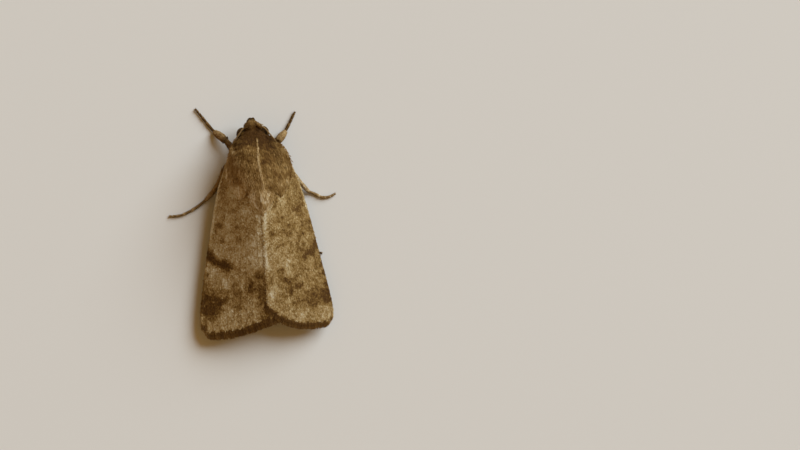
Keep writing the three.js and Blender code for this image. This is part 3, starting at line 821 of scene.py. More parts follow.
def forewingShade(side, places, x, along, across):
    # how pale the wing is at each place, 0 to 1, from its bands, spots and crescents
    station = places[..., 1]
    plan = np.stack([sideSign[side] * x, station, np.zeros_like(x)], -1)
    px, ps = (v + wingTone["ragged"] * mottle(plan, 0.5, seed) for v, seed in ((x, 3), (station, 5)))
    wave = 0.014 * np.sin(across * 26) + 0.02 * mottle(plan, 1.1, 8)
    # the ground holds painted fill light: paler on the left wing
    shade = np.full(x.shape, wingTone["ground"][side])
    for size, seed, share in wingTone["mottles"]:
        shade += share * mottle(plan, size, seed)
    inside = membraneEnd(side, across) - along  # share of the length in from the outer edge
    shade += wingTone["terminalBand"][side] * fall(inside - wave, *wingTone["terminalEnds"])
    shade += wingTone["subterminalBand"] * band(inside - wave, *wingTone["subterminalEnds"], 0.02)
    shade += wingTone["basalShade"] * fall(station, *wingTone["basalEnds"]) * ramp(across, 0.3, 0.8)
    light = hump(px, 0.5, 0.7) * band(station, *wingTone["innerLightEnds"], 1.0)
    shade += wingTone["innerLight"] * light
    rim = ramp(across, 0.955, 0.98) * band(station, *wingTone["rimEnds"][side], 0.9)
    shade += wingTone["costalRim"] * rim
    shade += wingTone["edgeDot"] * hump(inside, 0.005, 0.009) * edgeDots(across)
    for _, cx, cs, rx, rs, turn, change in spots[side]:
        angle = math.radians(turn)
        u = (px - cx) * math.cos(angle) + (ps - cs) * math.sin(angle)
        v = (ps - cs) * math.cos(angle) - (px - cx) * math.sin(angle)
        change *= wingTone["depth"][side] if change < 0 else 1
        shade += change * np.exp(-((u / rx) ** 2 + (v / rs) ** 2) ** wingTone["markEdge"])
    for _, cx, cs, radius, width, start, stop, change in crescents[side]:
        heading = np.degrees(np.arctan2(station - cs, x - cx)) % 360
        away = np.hypot(x - cx, station - cs)
        shade += change * hump(away, radius, width) * band(heading, start, stop, 12)
    return np.clip(shade, 0.02, 0.98)


def makeForewing(side):
    along, across = grid(forewing)
    along = along * membraneEnd(side, across)
    top, x = forewingGrid(side, along, across)
    thick = forewing["thick"] + forewing["costalRoll"] * hump(across, 1.0, 0.018)
    bottom = top - (thick * slopeFactor(x, top[..., 1]))[..., None] * up
    skin = sheetSkin(
        top, bottom, shade=forewingShade(side, top, x, along, across),
        shadeBelow=np.clip(wingTone["underside"] - 0.25 * band(along, 0.75, 0.9, 0.03), 0, 1),
        costa=ramp(across, 0.955, 0.965), growth=0.8 + 0.2 * ramp(along, 0.0, 0.3),
    )
    return keepPiece(makeObject(f"forewingMembrane_{side}", skin, wingMosaic), "forewing", f"forewing_{side}")


fringe = {
    # strips one over the other: share of the wing's length inside the edge, depth, tone
    "strips": [(0.004, 0.0, 0.06), (0.009, 0.03, -0.04)],
    "strip": 0.006,
    "rows": 3,
    "columns": 140,
    "length": {"left": 0.84, "right": 0.71},
    "tone": {"left": 0.1, "right": 0.05},
    "cornerTone": {"left": -0.16, "right": -0.1},  # at the inner corner
    "apexTone": {"left": 0.3, "right": 0.5},
    "squareToEdge": 0.75,  # how far the cilia turn from the wing's length to square with its edge
    "coats": {
        "cilia": dict(leaf="fringeHair", spacing=0.02, perMm2=5000, lift=0, liftSpread=2, splay=8,
                      sizeSpread=0.1, steepest=0.4, seed=5),
        "base": dict(leaf="fringeScale", spacing=0.035, perMm2=2200, lift=4, liftSpread=3, steepest=0.4,
                     seed=8),
    },
}


def makeFringe(side):
    # the thin strips that the cilia grow from, along the membrane's outer edge
    parts = []
    for start, drop, tone in fringe["strips"]:
        along, across = grid(fringe, (-fringe["strip"], fringe["strip"]))
        top, _ = forewingGrid(side, along + membraneEnd(side, across) - start, across)
        top[..., 2] -= drop
        outwards, edge = unit(np.gradient(top, axis=0)), unit(np.gradient(top, axis=1))
        outwards = outwards - fringe["squareToEdge"] * (outwards * edge).sum(-1, keepdims=True) * edge
        shade = fringe["tone"][side] + tone + 0.16 * mottle(top, 0.3, 31) - 0.08 * edgeDots(across)
        shade += fringe["cornerTone"][side] * np.exp(-across / 0.1)
        shade += fringe["apexTone"][side] * ramp(across, 0.82, 0.95)
        length = fringe["length"][side] * (1 - 0.65 * ramp(across, 0.85, 1.0)) + 0.08 * mottle(top, 0.3, 33)
        parts.append(sheetSkin(
            top, top - 0.02 * up, lie=unit(outwards), shade=np.clip(shade, 0, 1),
            growth=length / leafLooks["fringeHair"][0],
        ))
    return makeObject(f"fringeRoots_{side}", joinSkins(parts), fringeCilia)


for side in sideSign:
    wing = makeForewing(side)
    upperFace = fieldOf(wing, "upper")
    for layer, look in forewing["coats"].items():
        cover = 1 - upperFace if layer == "under" else np.maximum(upperFace, fieldOf(wing, "costa"))
        growCoat(wing, f"forewingScales_{layer}_{side}", look, cover, "forewing")
    roots = makeFringe(side)
    for layer, look in fringe["coats"].items():
        growCoat(roots, f"forewingFringe_{layer}_{side}", look, fieldOf(roots, "upper"), "forewing")
    bpy.data.objects.remove(roots)
print("forewings done")


# hindwings, folded flat under the forewings

hindwing = {
    "inner": [(0.5, 9.2), (0.12, 10.4), (0.12, 14), (0.12, 17.2)],
    "costa": [(2.1, 8.2), (2.5, 10), (2.75, 13), (2.8, 16), (2.4, 18.2)],
    "termen": [(0.12, 17.2), (0.6, 18.2), (1.5, 18.55), (2.4, 18.2)],
    "below": 0.72,  # depth under the forewing's upper face, square to the roof
    "thick": 0.04,
    "pleat": 0.05,
    "pleats": 5,
    "rows": 60,
    "columns": 26,
    "shade": 0.72,
    "borderDarker": 0.5,
    "coat": dict(leaf="wingScale", spacing=0.12, perMm2=120, lift=6, splay=9, seed=23),
}
for side in sideSign:
    along, across = grid(hindwing)
    x, station = np.moveaxis(wingPatch(hindwing)(along, across), -1, 0)
    depth = hindwing["below"] * slopeFactor(x, station)
    depth += hindwing["pleat"] * np.cos(across * hindwing["pleats"] * math.pi) * ramp(along, 0.1, 0.4)
    top = np.stack([sideSign[side] * x, station, roof(x, station) - depth], -1)
    border = ramp(along + 0.04 * mottle(top, 1.0, 4), 0.72, 0.86)
    shade = hindwing["shade"] - hindwing["borderDarker"] * border
    skin = sheetSkin(top, top - hindwing["thick"] * up, shade=shade)
    wing = makeObject(f"hindwingMembrane_{side}", skin, hindMosaic)
    keepPiece(wing, "hindwing", f"hindwing_{side}")
    growCoat(wing, f"hindwingScales_{side}", hindwing["coat"], 1.0, "hindwing")
print("hindwings done")


# the body: head, collar, thorax and abdomen in one skin

trunk = {
    "stations": [  # station, half width, lowest, highest: the coat's outer line
        (0.5, 0.38, 1.85, 2.65), (0.85, 0.82, 1.5, 3.1), (1.45, 1.15, 1.35, 3.4),
        (2.0, 1.55, 1.35, 3.55), (2.4, 1.85, 1.3, 3.85), (2.8, 2.05, 1.15, 4.25), (3.6, 2.3, 0.9, 4.9),
        (5.0, 2.5, 0.75, 5.4), (6.5, 2.4, 0.75, 5.5), (7.8, 2.0, 0.85, 5.1), (8.6, 1.65, 0.95, 4.05),
        (9.6, 1.7, 0.85, 3.85), (11.2, 1.65, 0.8, 3.55), (13.2, 1.45, 0.8, 3.1), (15.2, 1.1, 0.85, 2.5),
        (16.6, 0.7, 0.95, 2.0), (17.4, 0.3, 1.1, 1.65),
    ],
    "coatDepth": [
        (0.5, 0.1), (1.5, 0.12), (2.0, 0.07), (2.8, 0.1), (4.0, 0.18), (7.5, 0.2), (9.0, 0.12), (17.4, 0.1),
    ],
    "rings": 240,
    "sides": 160,
    "crowding": 0.45,  # how much closer the sides stand along the back
    "segment": 1.08,  # length of one ring of the abdomen
    "segmentsFrom": 8.75,
    "segmentDepth": 0.055,
    "cheek": (1.7, 4.4),  # between these stations the hair on the sides is longer and stands off more
    "cheekLonger": 0.3,
    "cheekSteeper": 0.7,
    "coats": {
        "head": dict(leaf="headHair", spacing=0.04, perMm2=2200, lift=17, liftSpread=8, splay=18, clump=0.5,
                     steepest=1.1, seed=41),
        "thorax": dict(leaf="bodyHair", spacing=0.05, perMm2=1500, lift=12, liftSpread=6, splay=20,
                       clump=0.25, seed=43),
        "crest": dict(leaf="bodyHair", spacing=0.03, perMm2=4000, lift=12, liftSpread=5, splay=7, size=0.8,
                      seed=45),
        "breast": dict(leaf="tuftHair", spacing=0.09, perMm2=450, lift=13, liftSpread=6, splay=16,
                       clump=0.6, clumpSize=0.8, seed=47),
        "abdomen": dict(leaf="abdomenScale", spacing=0.085, perMm2=450, lift=7, splay=12, seed=53),
    },
}
bodyTone = {
    # the nape's dark tone is partly dark hair, partly painted shadow in the groove between head and thorax
    "thorax": 0.45, "face": 0.32, "napeHairAndShadow": 0.0, "collar": 0.18, "crest": 0.68, "horseshoe": 0.84,
    "belly": 0.6, "abdomen": 0.55, "paintedFillLeft": 0.09, "besideCrest": -0.12, "collarEnds": 0.18,
    "mottles": [(0.7, 21, 0.22), (0.27, 22, 0.2)],  # size, seed, strength
}
toneEnds = {  # stations between which one tone gives way to the next, or a mark runs
    "faceToNape": (0.85, 1.2),
    "napeToCollar": (1.75, 2.75),
    "collarToThorax": (1.9, 4.8),
    "collarEnds": (2.2, 3.8),
    "besideCrest": (3.7, 5.2),
    "horseshoe": (6.9, 7.75),
    "thoraxToAbdomen": (8.3, 8.9),
}
horseshoeLine = {"middle": -0.24, "radius": 0.26, "width": 0.11}  # the pale U behind the thorax
crestLine = {  # the pale ridge of hair down the back
    "middle": profile([(2.0, -0.14), (2.6, -0.12), (4.07, 0.01), (5.57, -0.11), (6.32, -0.18), (7.1, -0.21)]),
    "halfWidth": profile([(2.0, 0.05), (7.0, 0.11)]),
    "ends": (2.05, 7.3),
    "height": 0.06,
}


def onCrest(x, y, softness=0.35):
    away = np.abs(x - crestLine["middle"](y)) / crestLine["halfWidth"](y)
    return fall(away, 1 - softness, 1 + softness) * band(y, *crestLine["ends"], 0.08)


def bodyShade(x, y, z, upper):
    places = np.stack([x, y, z], -1)
    tone, ends, bow = bodyTone, toneEnds, horseshoeLine
    top = ramp(upper, -0.1, 0.35)
    shade = np.full(np.shape(x), tone["thorax"])
    for size, seed, share in tone["mottles"]:
        shade += share * mottle(places, size, seed)
    # paler on the moth's left and darker on its right: painted light that evens out the lamp's shading across
    # the back
    shade += tone["paintedFillLeft"] * np.clip(x / 1.5, -1, 1)
    shade += tone["besideCrest"] * hump(np.abs(x - 0.1), 0.7, 0.5) * band(y, *ends["besideCrest"], 0.5)
    face = fall(y + 0.2 * mottle(places, 0.3, 2), *ends["faceToNape"])
    collar = fall(y + 0.4 * mottle(places, 0.5, 4), *ends["collarToThorax"])
    ragged = y + 0.4 * mottle(places, 0.4, 6) - 0.3 * hump(x, -0.1, 0.5) + 0.2 * ramp(-x, 0.0, 1.0)
    # dark nape: partly dark hair, partly painted shadow in the groove between head and thorax
    napeHairAndShadow = ramp(ragged, *ends["faceToNape"]) * fall(ragged, *ends["napeToCollar"])
    shade += (tone["collar"] - tone["thorax"]) * collar * top
    shade += (tone["face"] - tone["collar"]) * face
    shade += (tone["napeHairAndShadow"] - tone["collar"]) * napeHairAndShadow * top
    shade += tone["collarEnds"] * ramp(np.abs(x), 1.2, 2.0) * band(y, *ends["collarEnds"], 0.4)
    shade += (tone["abdomen"] - tone["thorax"]) * ramp(y, *ends["thoraxToAbdomen"])
    shade = shade * top + tone["belly"] * (1 - top)
    shade += (tone["crest"] - shade) * onCrest(x, y) * top
    fromMiddle = x - bow["middle"]
    horseshoe = hump(np.abs(fromMiddle), bow["radius"], bow["width"]) * band(y, *ends["horseshoe"], 0.12)
    horseshoe += np.exp(-((fromMiddle / 0.3) ** 2) - ((y - ends["horseshoe"][1]) / bow["radius"]) ** 2)
    shade += (tone["horseshoe"] - shade) * np.clip(horseshoe, 0, 1) * top
    return np.clip(shade, 0.0, 1.0)


def trunkRing(station, extra=0.0):  # half width, middle height and half height of the skin
    wide, low, high = (profile([(row[0], row[c]) for row in trunk["stations"]])(station) for c in (1, 2, 3))
    depth = profile(trunk["coatDepth"])(station) + extra
    return np.maximum(wide - depth, 0.12), (low + high) / 2, np.maximum((high - low) / 2 - depth, 0.12)


def bodyTop(x, station):  # height of the skin's back at a place
    halfWidth, middle, halfHeight = trunkRing(station)
    return middle + halfHeight * np.sqrt(1 - np.clip(np.abs(x) / halfWidth, 0, 1) ** 2)


def makeBody():
    station = np.linspace(trunk["stations"][0][0] + 0.08, trunk["stations"][-1][0] - 0.1, trunk["rings"])
    past = station - trunk["segmentsFrom"]
    ring = (past / trunk["segment"]) % 1.0
    sunk = trunk["segmentDepth"] * ramp(ring, 0.55, 0.95) * (past > 0) * fall(ring, 0.95, 1)
    halfWidth, middle, halfHeight = trunkRing(station, sunk)
    turn = 2 * math.pi * np.arange(trunk["sides"]) / trunk["sides"]
    turn = turn + trunk["crowding"] * np.cos(turn)
    x = halfWidth[:, None] * np.cos(turn)
    z = middle[:, None] + halfHeight[:, None] * np.sin(turn)
    y, upper = onGrid(station[:, None], x.shape), onGrid(np.sin(turn)[None, :], x.shape)
    z = z + crestLine["height"] * onCrest(x, y, 0.8) * ramp(upper, 0.5, 0.8)
    rings = np.stack([x, y, z], -1)
    # hair points forward on the face, down over its front, and back and outwards behind it
    ahead = 1 - 2 * ramp(station, 1.2, 1.45)
    lie = -unit(np.gradient(rings, axis=0) + 1e-9) * ahead[:, None, None]
    lie = lie + 0.12 * np.stack([np.sign(x), 0 * x, 0 * x], -1)
    lie = lie - (1.3 * fall(station, 0.6, 0.95))[:, None, None] * up
    # the hair behind the eyes and over the wing roots is longer and stands off more
    cheek = band(y, *trunk["cheek"], 0.3) * band(upper, -0.5, 0.75, 0.15)
    skin = ringSkin(
        rings, lie=unit(lie), shade=bodyShade(x, y, z, upper), upper=upper,
        stand=1 + trunk["cheekSteeper"] * cheek, growth=1 + trunk["cheekLonger"] * cheek,
    )
    return keepPiece(makeObject("bodySkin", skin, hairWool), "body", "head", "collar", "thorax", "abdomen")


body = makeBody()
bx, by, bz = (np.array([v.co for v in body.data.vertices], float) / mm - originShift).T
upper = fieldOf(body, "upper")
eyeAway = sum(
    ((np.abs(v) - c) / r) ** 2 for v, c, r in zip((bx, by, bz), eyePlace["centre"], eyePlace["radii"])
)
innerEdge = profile([(y, x) for x, y in forewing["inner"][:5]])
roofGap = roof(bx, by) - bz  # how far the skin lies under the wings' upper face
underWing = (np.abs(bx) > innerEdge(by) + 0.15) & (by > 4.6) & (roofGap < 1.2) & (roofGap > -0.6)
exposed = np.where(underWing, 0.0, 1.0)
bodyZones = {
    "head": fall(by, 2.3, 2.6) * ramp(eyeAway, 0.9, 1.0),
    "thorax": ramp(by, 2.0, 2.3) * fall(by, 8.5, 8.7) * ramp(upper, -0.15, 0.05) * exposed
    * (1 - onCrest(bx, by)),
    "crest": onCrest(bx, by) * ramp(upper, 0.3, 0.5),
    "breast": ramp(by, 2.3, 2.5) * fall(by, 8.5, 8.8) * fall(upper, -0.1, 0.05) * exposed,
    "abdomen": ramp(by, 8.4, 8.7),
}
for zone, cover in bodyZones.items():
    growCoat(body, f"{zone}Coat", trunk["coats"][zone], cover, "abdomen" if zone == "abdomen" else "body")
print("body done")


# flaps of hair-scales that lie on the closed wings' roots: two tegulae and the tuft between them

tegula = {
    "outer": [
        (1.6, 2.7), (2.2, 2.75), (2.62, 3.2), (2.95, 4.0), (3.12, 4.9), (3.0, 5.8), (2.7, 6.7), (2.1, 7.55),
    ],
    "inner": [(1.3, 2.95), (1.15, 4.4), (1.15, 5.8), (1.35, 7.1), (1.75, 7.55)],
    "lift": 0.16,
    "border": -0.06,  # sunk among the wing's own scales
    "overBody": 0.05,
    "crease": 14,  # sharpness of the fold where it leaves the thorax
    "tuck": 0.55,  # how far its front corner bends down to the wing's root
    "thick": 0.06,
    "rim": 0.1,
    "paleSpot": {"left": 0.2, "right": 0.0},
    "tail": {"left": 0.2, "right": 0.04},  # paler towards the rear, like the wing beyond it; the left's larger share is painted fill light, as on the left wing's ground
    "rows": 60,
    "columns": 36,
    "coat": dict(leaf="bodyHair", spacing=0.05, perMm2=1500, lift=9, liftSpread=5, splay=20, clump=0.25,
                 seed=61),
}
tuft = {
    "halfWidth": [(6.7, 0.7), (7.3, 1.05), (7.9, 1.0), (8.5, 0.62), (8.95, 0.2)],
    "lift": 0.16,
    "thick": 0.06,
    "paleEdge": 0.2,
    "leftPaintedFill": 0.2,  # painted light on its left half, the side turned from the lamp
    "rows": 60,
    "columns": 48,
    "coat": dict(leaf="tuftHair", spacing=0.05, perMm2=1500, lift=7, splay=12, clump=0.15, seed=67),
}


def makeFlap(name, top, across, shade, look, *nodes):
    # a thin flap on the wings' roof, from the grid of its upper face, with its coat
    lie = unit(np.gradient(top, axis=0) + 0.2 * across * np.gradient(top, axis=1))
    skin = sheetSkin(top, top - look["thick"] * up, lie=lie, shade=np.clip(shade, 0, 1))
    flap = keepPiece(makeObject(f"{name}_flap", skin, hairWool), "body", *nodes)
    growCoat(flap, f"{name}_hair", look["coat"], fieldOf(flap, "upper"), "body")


def makeTegula(side):
    inner, outer = smoothLine(tegula["inner"]), smoothLine(tegula["outer"])
    along, across = grid(tegula, (0.02, 0.96), (0.02, 0.97))
    x, station = np.moveaxis(inner(along) * (1 - across[..., None]) + outer(along) * across[..., None], -1, 0)
    x = spreadOut(side, x, station)
    dome = (4 * along * (1 - along)) ** 0.8 * (4 * across * (1 - across)) ** 0.8
    lift = tegula["border"] + (tegula["lift"] - tegula["border"]) * dome
    # the flap drapes from the thorax over the wing's root
    onWing = roof(x, station) + lift * slopeFactor(x, station)
    onBody = bodyTop(x, station) + tegula["overBody"]
    height = np.logaddexp(onWing * tegula["crease"], onBody * tegula["crease"]) / tegula["crease"]
    height -= tegula["tuck"] * fall(along, 0.0, 0.22) * ramp(across, 0.15, 0.7)
    top = np.stack([sideSign[side] * x, station, height], -1)
    shade = bodyShade(*np.moveaxis(top, -1, 0), np.ones(x.shape))
    shade += tegula["rim"] * ramp(across, 0.5, 0.95) * ramp(along, 0.2, 0.5)
    # the left flap's paler rear is partly painted fill light, like the left wing's ground
    shade += tegula["tail"][side] * ramp(along, 0.45, 0.95)
    shade += tegula["paleSpot"][side] * hump(np.hypot(x - 2.1, station - 6.8), 0, 0.45)
    makeFlap(f"tegula_{side}", top, 1.0, shade, tegula, f"tegula_{side}")


def makeTuft():
    ends = tuft["halfWidth"][0][0], tuft["halfWidth"][-1][0]
    station, across = grid(tuft, ends, (-1, 1))
    x = profile(tuft["halfWidth"])(station) * across
    along = (station - ends[0]) / (ends[1] - ends[0])
    lift = tuft["lift"] * np.clip(1 - across**2, 0, 1) ** 0.7 * 4 * along * (1 - along)
    top = np.stack([x, station, roof(x, station) + lift], -1)
    shade = bodyShade(x, np.minimum(station, 8.3), top[..., 2], np.ones(x.shape))
    # its left half painted paler: painted fill light on the side away from the lamp
    shade += tuft["leftPaintedFill"] * ramp(x, 0.1, 0.6)
    paleEdge = ramp(np.abs(across), 0.5, 0.9) * ramp(station, 7.6, 8.0)
    shade += tuft["paleEdge"] * np.maximum(paleEdge, ramp(station, 8.3, 8.7))
    makeFlap("scutellarTuft", top, across[..., None], shade, tuft)


for side in sideSign:
    makeTegula(side)
makeTuft()
print("tegulae and tuft done")


# legs

legs = {  # hip, then the middle and end of femur and tibia, then the foot in plan, off the midline
    "foreleg": {
        "hip": [(0.6, 3.6, 1.45), (0.8, 3.75, 1.1), (0.95, 3.7, 0.93)],
        "left": [(1.8, 2.95, 1.15), (2.45, 2.0, 1.0), (2.9, 1.55, 0.7), (3.34, 1.12, 0.3)],
        "leftFoot": [(3.72, 0.62), (4.33, -0.28), (5.05, -1.32)],
        "right": [(1.8, 3.15, 1.15), (2.3, 2.55, 1.0), (2.78, 2.1, 0.7), (3.25, 1.65, 0.3)],
        "rightFoot": [(3.62, 1.1), (4.02, 0.45), (4.45, -0.3)],
    },
    "midleg": {
        "hip": [(0.65, 5.0, 1.35), (0.9, 5.1, 1.05), (1.05, 5.1, 0.88)],
        "left": [(2.0, 4.7, 1.15), (2.78, 4.5, 1.15), (3.62, 6.2, 0.66), (4.75, 7.4, 0.3)],
        "leftFoot": [(5.7, 8.03), (6.9, 8.56), (7.7, 8.67), (8.45, 8.62)],
        "right": [(2.2, 4.65, 1.15), (3.0, 4.5, 1.15), (4.05, 6.2, 0.64), (5.03, 7.42, 0.3)],
        "rightFoot": [(5.63, 7.7), (6.28, 8.06), (7.0, 8.08), (7.7, 7.8)],
    },
    "hindleg": {
        "hip": [(0.65, 6.8, 1.35), (0.9, 6.95, 1.05), (1.05, 7.0, 0.88)],
        "left": [(2.1, 7.7, 0.9), (2.85, 8.4, 0.85), (2.95, 10.2, 0.62), (3.12, 12.2, 0.3)],
        "leftFoot": [(3.6, 13.4), (4.2, 14.7), (4.6, 15.9)],
        "right": [(2.0, 7.6, 0.9), (2.65, 8.2, 0.85), (2.6, 9.6, 0.62), (2.8, 11.2, 0.3)],
        "rightFoot": [(3.6, 12.2), (4.6, 12.95), (5.4, 13.25), (6.0, 13.45)],
    },
}
limbLook = {
    "coxa": 0.3,  # radii
    "femur": 0.25,
    "tibia": {"foreleg": 0.29, "midleg": 0.17, "hindleg": 0.18},
    "foot": 0.13,
    "ankleHeight": 0.24,
    "soleHeight": 0.15,  # height of a foot's centre line
    "joints": (0.0, 0.42, 0.62, 0.78, 0.88, 0.955),  # the foot's five tarsal segments
    "hipShade": 0.6,
    "thighShade": 0.46,
    "shinShade": {"foreleg": 0.56, "midleg": 0.46, "hindleg": 0.45},
    "footShade": 0.28,
    # the left midleg's paler tone is painted fill light where the body shades it
    "paler": {"midleg_right": 0.36, "midleg_left": 0.2, "foreleg_right": 0.06},
    "spur": (0.55, 0.035),  # length, radius
    "spine": (0.13, 0.013),
    "spines": 14,
    "claw": (0.2, 0.022),
    "hornUnwrap": (0.97, 0.97, 0.99, 0.99),  # the patch of the unwrap that spurs, spines and claws share
    "coat": dict(leaf="legScale", spacing=0.042, perMm2=2000, lift=15, liftSpread=8, splay=18,
                 steepest=0.35, seed=71),
    "footCoat": dict(leaf="footScale", spacing=0.034, perMm2=2600, lift=14, liftSpread=8, splay=16,
                     steepest=0.35, seed=73),
}


def cone(start, heading, size, bend, shade, share=1.0):
    # a spur, spine or claw
    length, radius = size[0] * share, size[1]
    start, heading = np.array(start, float), unit(np.array(heading, float))
    middle = start + heading * length * 0.5 + (0, 0, bend * 0.2)
    return limbSkin(
        [start - heading * 0.04, middle, start + heading * length + bend * up],
        lambda t: radius * (1.02 - t) ** 0.8, 7, 7, shade, limbLook["hornUnwrap"], reach=0.0,
    )


def makeLeg(kind, side):
    look, name = limbLook, f"{kind}_{side}"
    # on the left midleg this lift is painted fill light
    paler = look["paler"].get(name, 0.0)
    chain = [(sideSign[side] * x, y, z) for x, y, z in legs[kind]["hip"] + legs[kind][side]]
    coxa, femur, tibia = chain[:3], chain[2:5], chain[4:]
    feet = [(sideSign[side] * x, y, look["soleHeight"]) for x, y in legs[kind][side + "Foot"]]
    footLine = smoothLine([(*tibia[-1][:2], look["ankleHeight"])] + feet)
    parts = [
        limbSkin(
            coxa, lambda t: look["coxa"] * (1 - 0.35 * t), 14, 14, look["hipShade"],
            (0.02, 0.02, 0.2, 0.98), 1.6,
        ),
        limbSkin(
            femur, lambda t: look["femur"] * (0.72 + 0.4 * math.sin(math.pi * min(1, t * 1.05))), 26, 14,
            lambda t: look["thighShade"] + paler - 0.12 * ramp(t, 0.5, 0.9), (0.22, 0.02, 0.42, 0.98), 1.5,
        ),
        limbSkin(
            tibia, lambda t: look["tibia"][kind] * (0.62 + 0.45 * math.sin(math.pi * min(1, 0.15 + t * 0.8))),
            30, 14, lambda t: look["shinShade"][kind] + paler - 0.16 * fall(t, 0.06, 0.2),
            (0.44, 0.02, 0.64, 0.98), 1.4,
        ),
    ]
    for n, (low, high) in enumerate(zip(look["joints"], look["joints"][1:])):
        parts.append(limbSkin(
            lambda t, low=low, high=high: footLine(low + (high - low) * t),
            lambda t, n=n: look["foot"] * (1.0 - 0.09 * n) * (0.78 + 0.22 * t), 13, 10,
            lambda t: look["footShade"] + paler + 0.3 * ramp(t, 0.66, 0.84) + 0.12 * fall(t, 0.0, 0.14),
            (0.66, 0.02 + 0.19 * n, 0.96, 0.19 + 0.19 * n),
        ))
    ankle, toe = np.array(tibia[-1]), footLine(0.955)
    shin = unit(ankle - np.array(tibia[1]))
    aim = unit(toe - footLine(0.9))
    sideways = np.cross(aim, up)
    # spurs at the end of the shin, and halfway on the hind one
    knees = {"foreleg": [], "midleg": [ankle - shin * 0.1]}.get(kind, [ankle - shin * 0.1, tibia[1]])
    for knee in knees:
        for way, share in ((1, 1.0), (-1, 0.75)):
            heading = shin + way * 0.35 * np.cross(shin, up) + 0.1 * up
            parts.append(cone(knee, heading * (1, 1, 0.2), look["spur"], 0, 0.6, share))
    for n, at in enumerate(np.linspace(0.06, 0.94, look["spines"])):  # spines in two rows under the foot
        way = 1 if n % 2 else -1
        heading = unit(footLine(min(1, at + 0.02)) - footLine(at)) + way * 0.75 * sideways
        parts.append(cone(footLine(at) + way * 0.05 * sideways, heading, look["spine"], -0.03, 0.25))
    for way in (1, -1):
        parts.append(cone(toe - aim * 0.05, aim + way * 0.5 * sideways, look["claw"], -0.06, 0.15))
    leg = makeObject(f"{name}_skin", joinSkins(parts), legScales)
    stayAboveFloor(leg, 0.0)
    keepPiece(leg, "leg", f"{name}_femur", f"{name}_tibia", f"{name}_foot")
    height = np.array([v.co.z for v in leg.data.vertices]) / mm
    reach, offSole = fieldOf(leg, "reach"), ramp(height, 0.07, 0.12)
    foot = np.concatenate([np.full(len(part["points"]), float(3 <= n < 8)) for n, part in enumerate(parts)])
    growCoat(leg, f"{name}_scales", look["coat"], reach * (1 - foot), "leg")
    growCoat(leg, f"{name}_footScales", look["footCoat"], reach * foot * offSole, "leg")


for kind in legs:
    for side in sideSign:
        makeLeg(kind, side)
print("legs done")


# eyes: a dome of small lenses, each a low cap on the ball

# the ball's subdivisions, a lens's radius, the ball's share of the eye, a cap's height by its radius
eye = {"split": 5, "lens": 0.026, "ball": 0.975, "capHeight": 0.55}


def makeLensTree():
    tree, add, given = startTree(
        "compoundEye", Geometry=["Ball"], Vector=["Radii", "Centre"], Int=["Split"], Float=["Lens"],
        Material=["Finish"],
    )
    sized = add(
        "ShaderNodeVectorMath", [add("GeometryNodeInputPosition"), given["Radii"], given["Centre"]],
        operation="MULTIPLY_ADD",
    )
    ball = add("GeometryNodeMeshIcoSphere", {"Radius": 1.0, "Subdivisions": given["Split"]})
    ball = add("GeometryNodeSetPosition", {"Geometry": ball, "Position": sized})
    facing = add("FunctionNodeAlignRotationToVector", {"Vector": add("GeometryNodeInputNormal")}, axis="Z")
    cap = add("GeometryNodeMeshUVSphere", {"Segments": 6, "Rings": 4, "Radius": given["Lens"]})
    lenses = add("GeometryNodeInstanceOnPoints", {
        "Points": ball, "Instance": cap, "Rotation": facing, "Scale": (1.0, 1.0, eye["capHeight"]),
    })
    lenses = add("GeometryNodeRealizeInstances", [lenses])
    whole = tree.nodes.new("GeometryNodeJoinGeometry")
    for part in (ball, lenses):
        tree.links.new(part, whole.inputs[0])
    whole = add("GeometryNodeSetShadeSmooth", {"Geometry": whole.outputs[0], "Shade Smooth": True})
    return endTree(tree, whole, given["Finish"])


lensTree = makeLensTree()
for side, sign in sideSign.items():
    host = linkObject("eyeHost", bpy.data.meshes.new("eyeHost"))
    ball = runTree(host, lensTree, f"eye_{side}_lenses", {
        "Radii": [r * eye["ball"] * mm for r in eyePlace["radii"]],
        "Centre": list(toRow(np.array(eyePlace["centre"]) * (sign, 1, 1))),
        "Split": eye["split"], "Lens": eye["lens"] * mm, "Finish": corneaLens,
    })
    bpy.data.objects.remove(host)
    keepPiece(ball, "eye", f"eye_{side}")
print("eyes done")


# antennae: short segments strung along a line, on a stout scape

antenna = {
    "line": [
        (0.5, 0.85, 3.2), (1.0, 1.15, 3.2), (1.5, 1.75, 3.0), (1.98, 2.4, 2.7), (2.3, 3.05, 2.35),
        (2.5, 3.9, 2.02), (2.66, 4.7, 1.93), (2.8, 6.0, 1.78), (2.85, 7.5, 1.62), (2.95, 9.5, 1.5),
    ],
    "radius": 0.075,
    "segment": 0.13,
    "barrel": [(0.0, 0.78), (0.25, 0.9), (0.8, 1.0), (0.93, 0.96), (1.0, 0.72)],  # a segment's outline
    "sides": 10,
    "taper": 0.45,
    "bulbs": ((-0.2, 0.12, 0.15), (0.08, 0.24, 0.115)),  # start, end and radius of the scape's two
    "scapeShade": {"left": 0.2, "right": 0.5},
    "tuft": dict(leaf="headHair", spacing=0.035, perMm2=2400, steepest=0.35),
    "tuftOf": {
        "left": dict(lift=8, splay=18, size=0.55, seed=91),
        "right": dict(lift=16, splay=22, size=0.7, seed=92),
    },
}


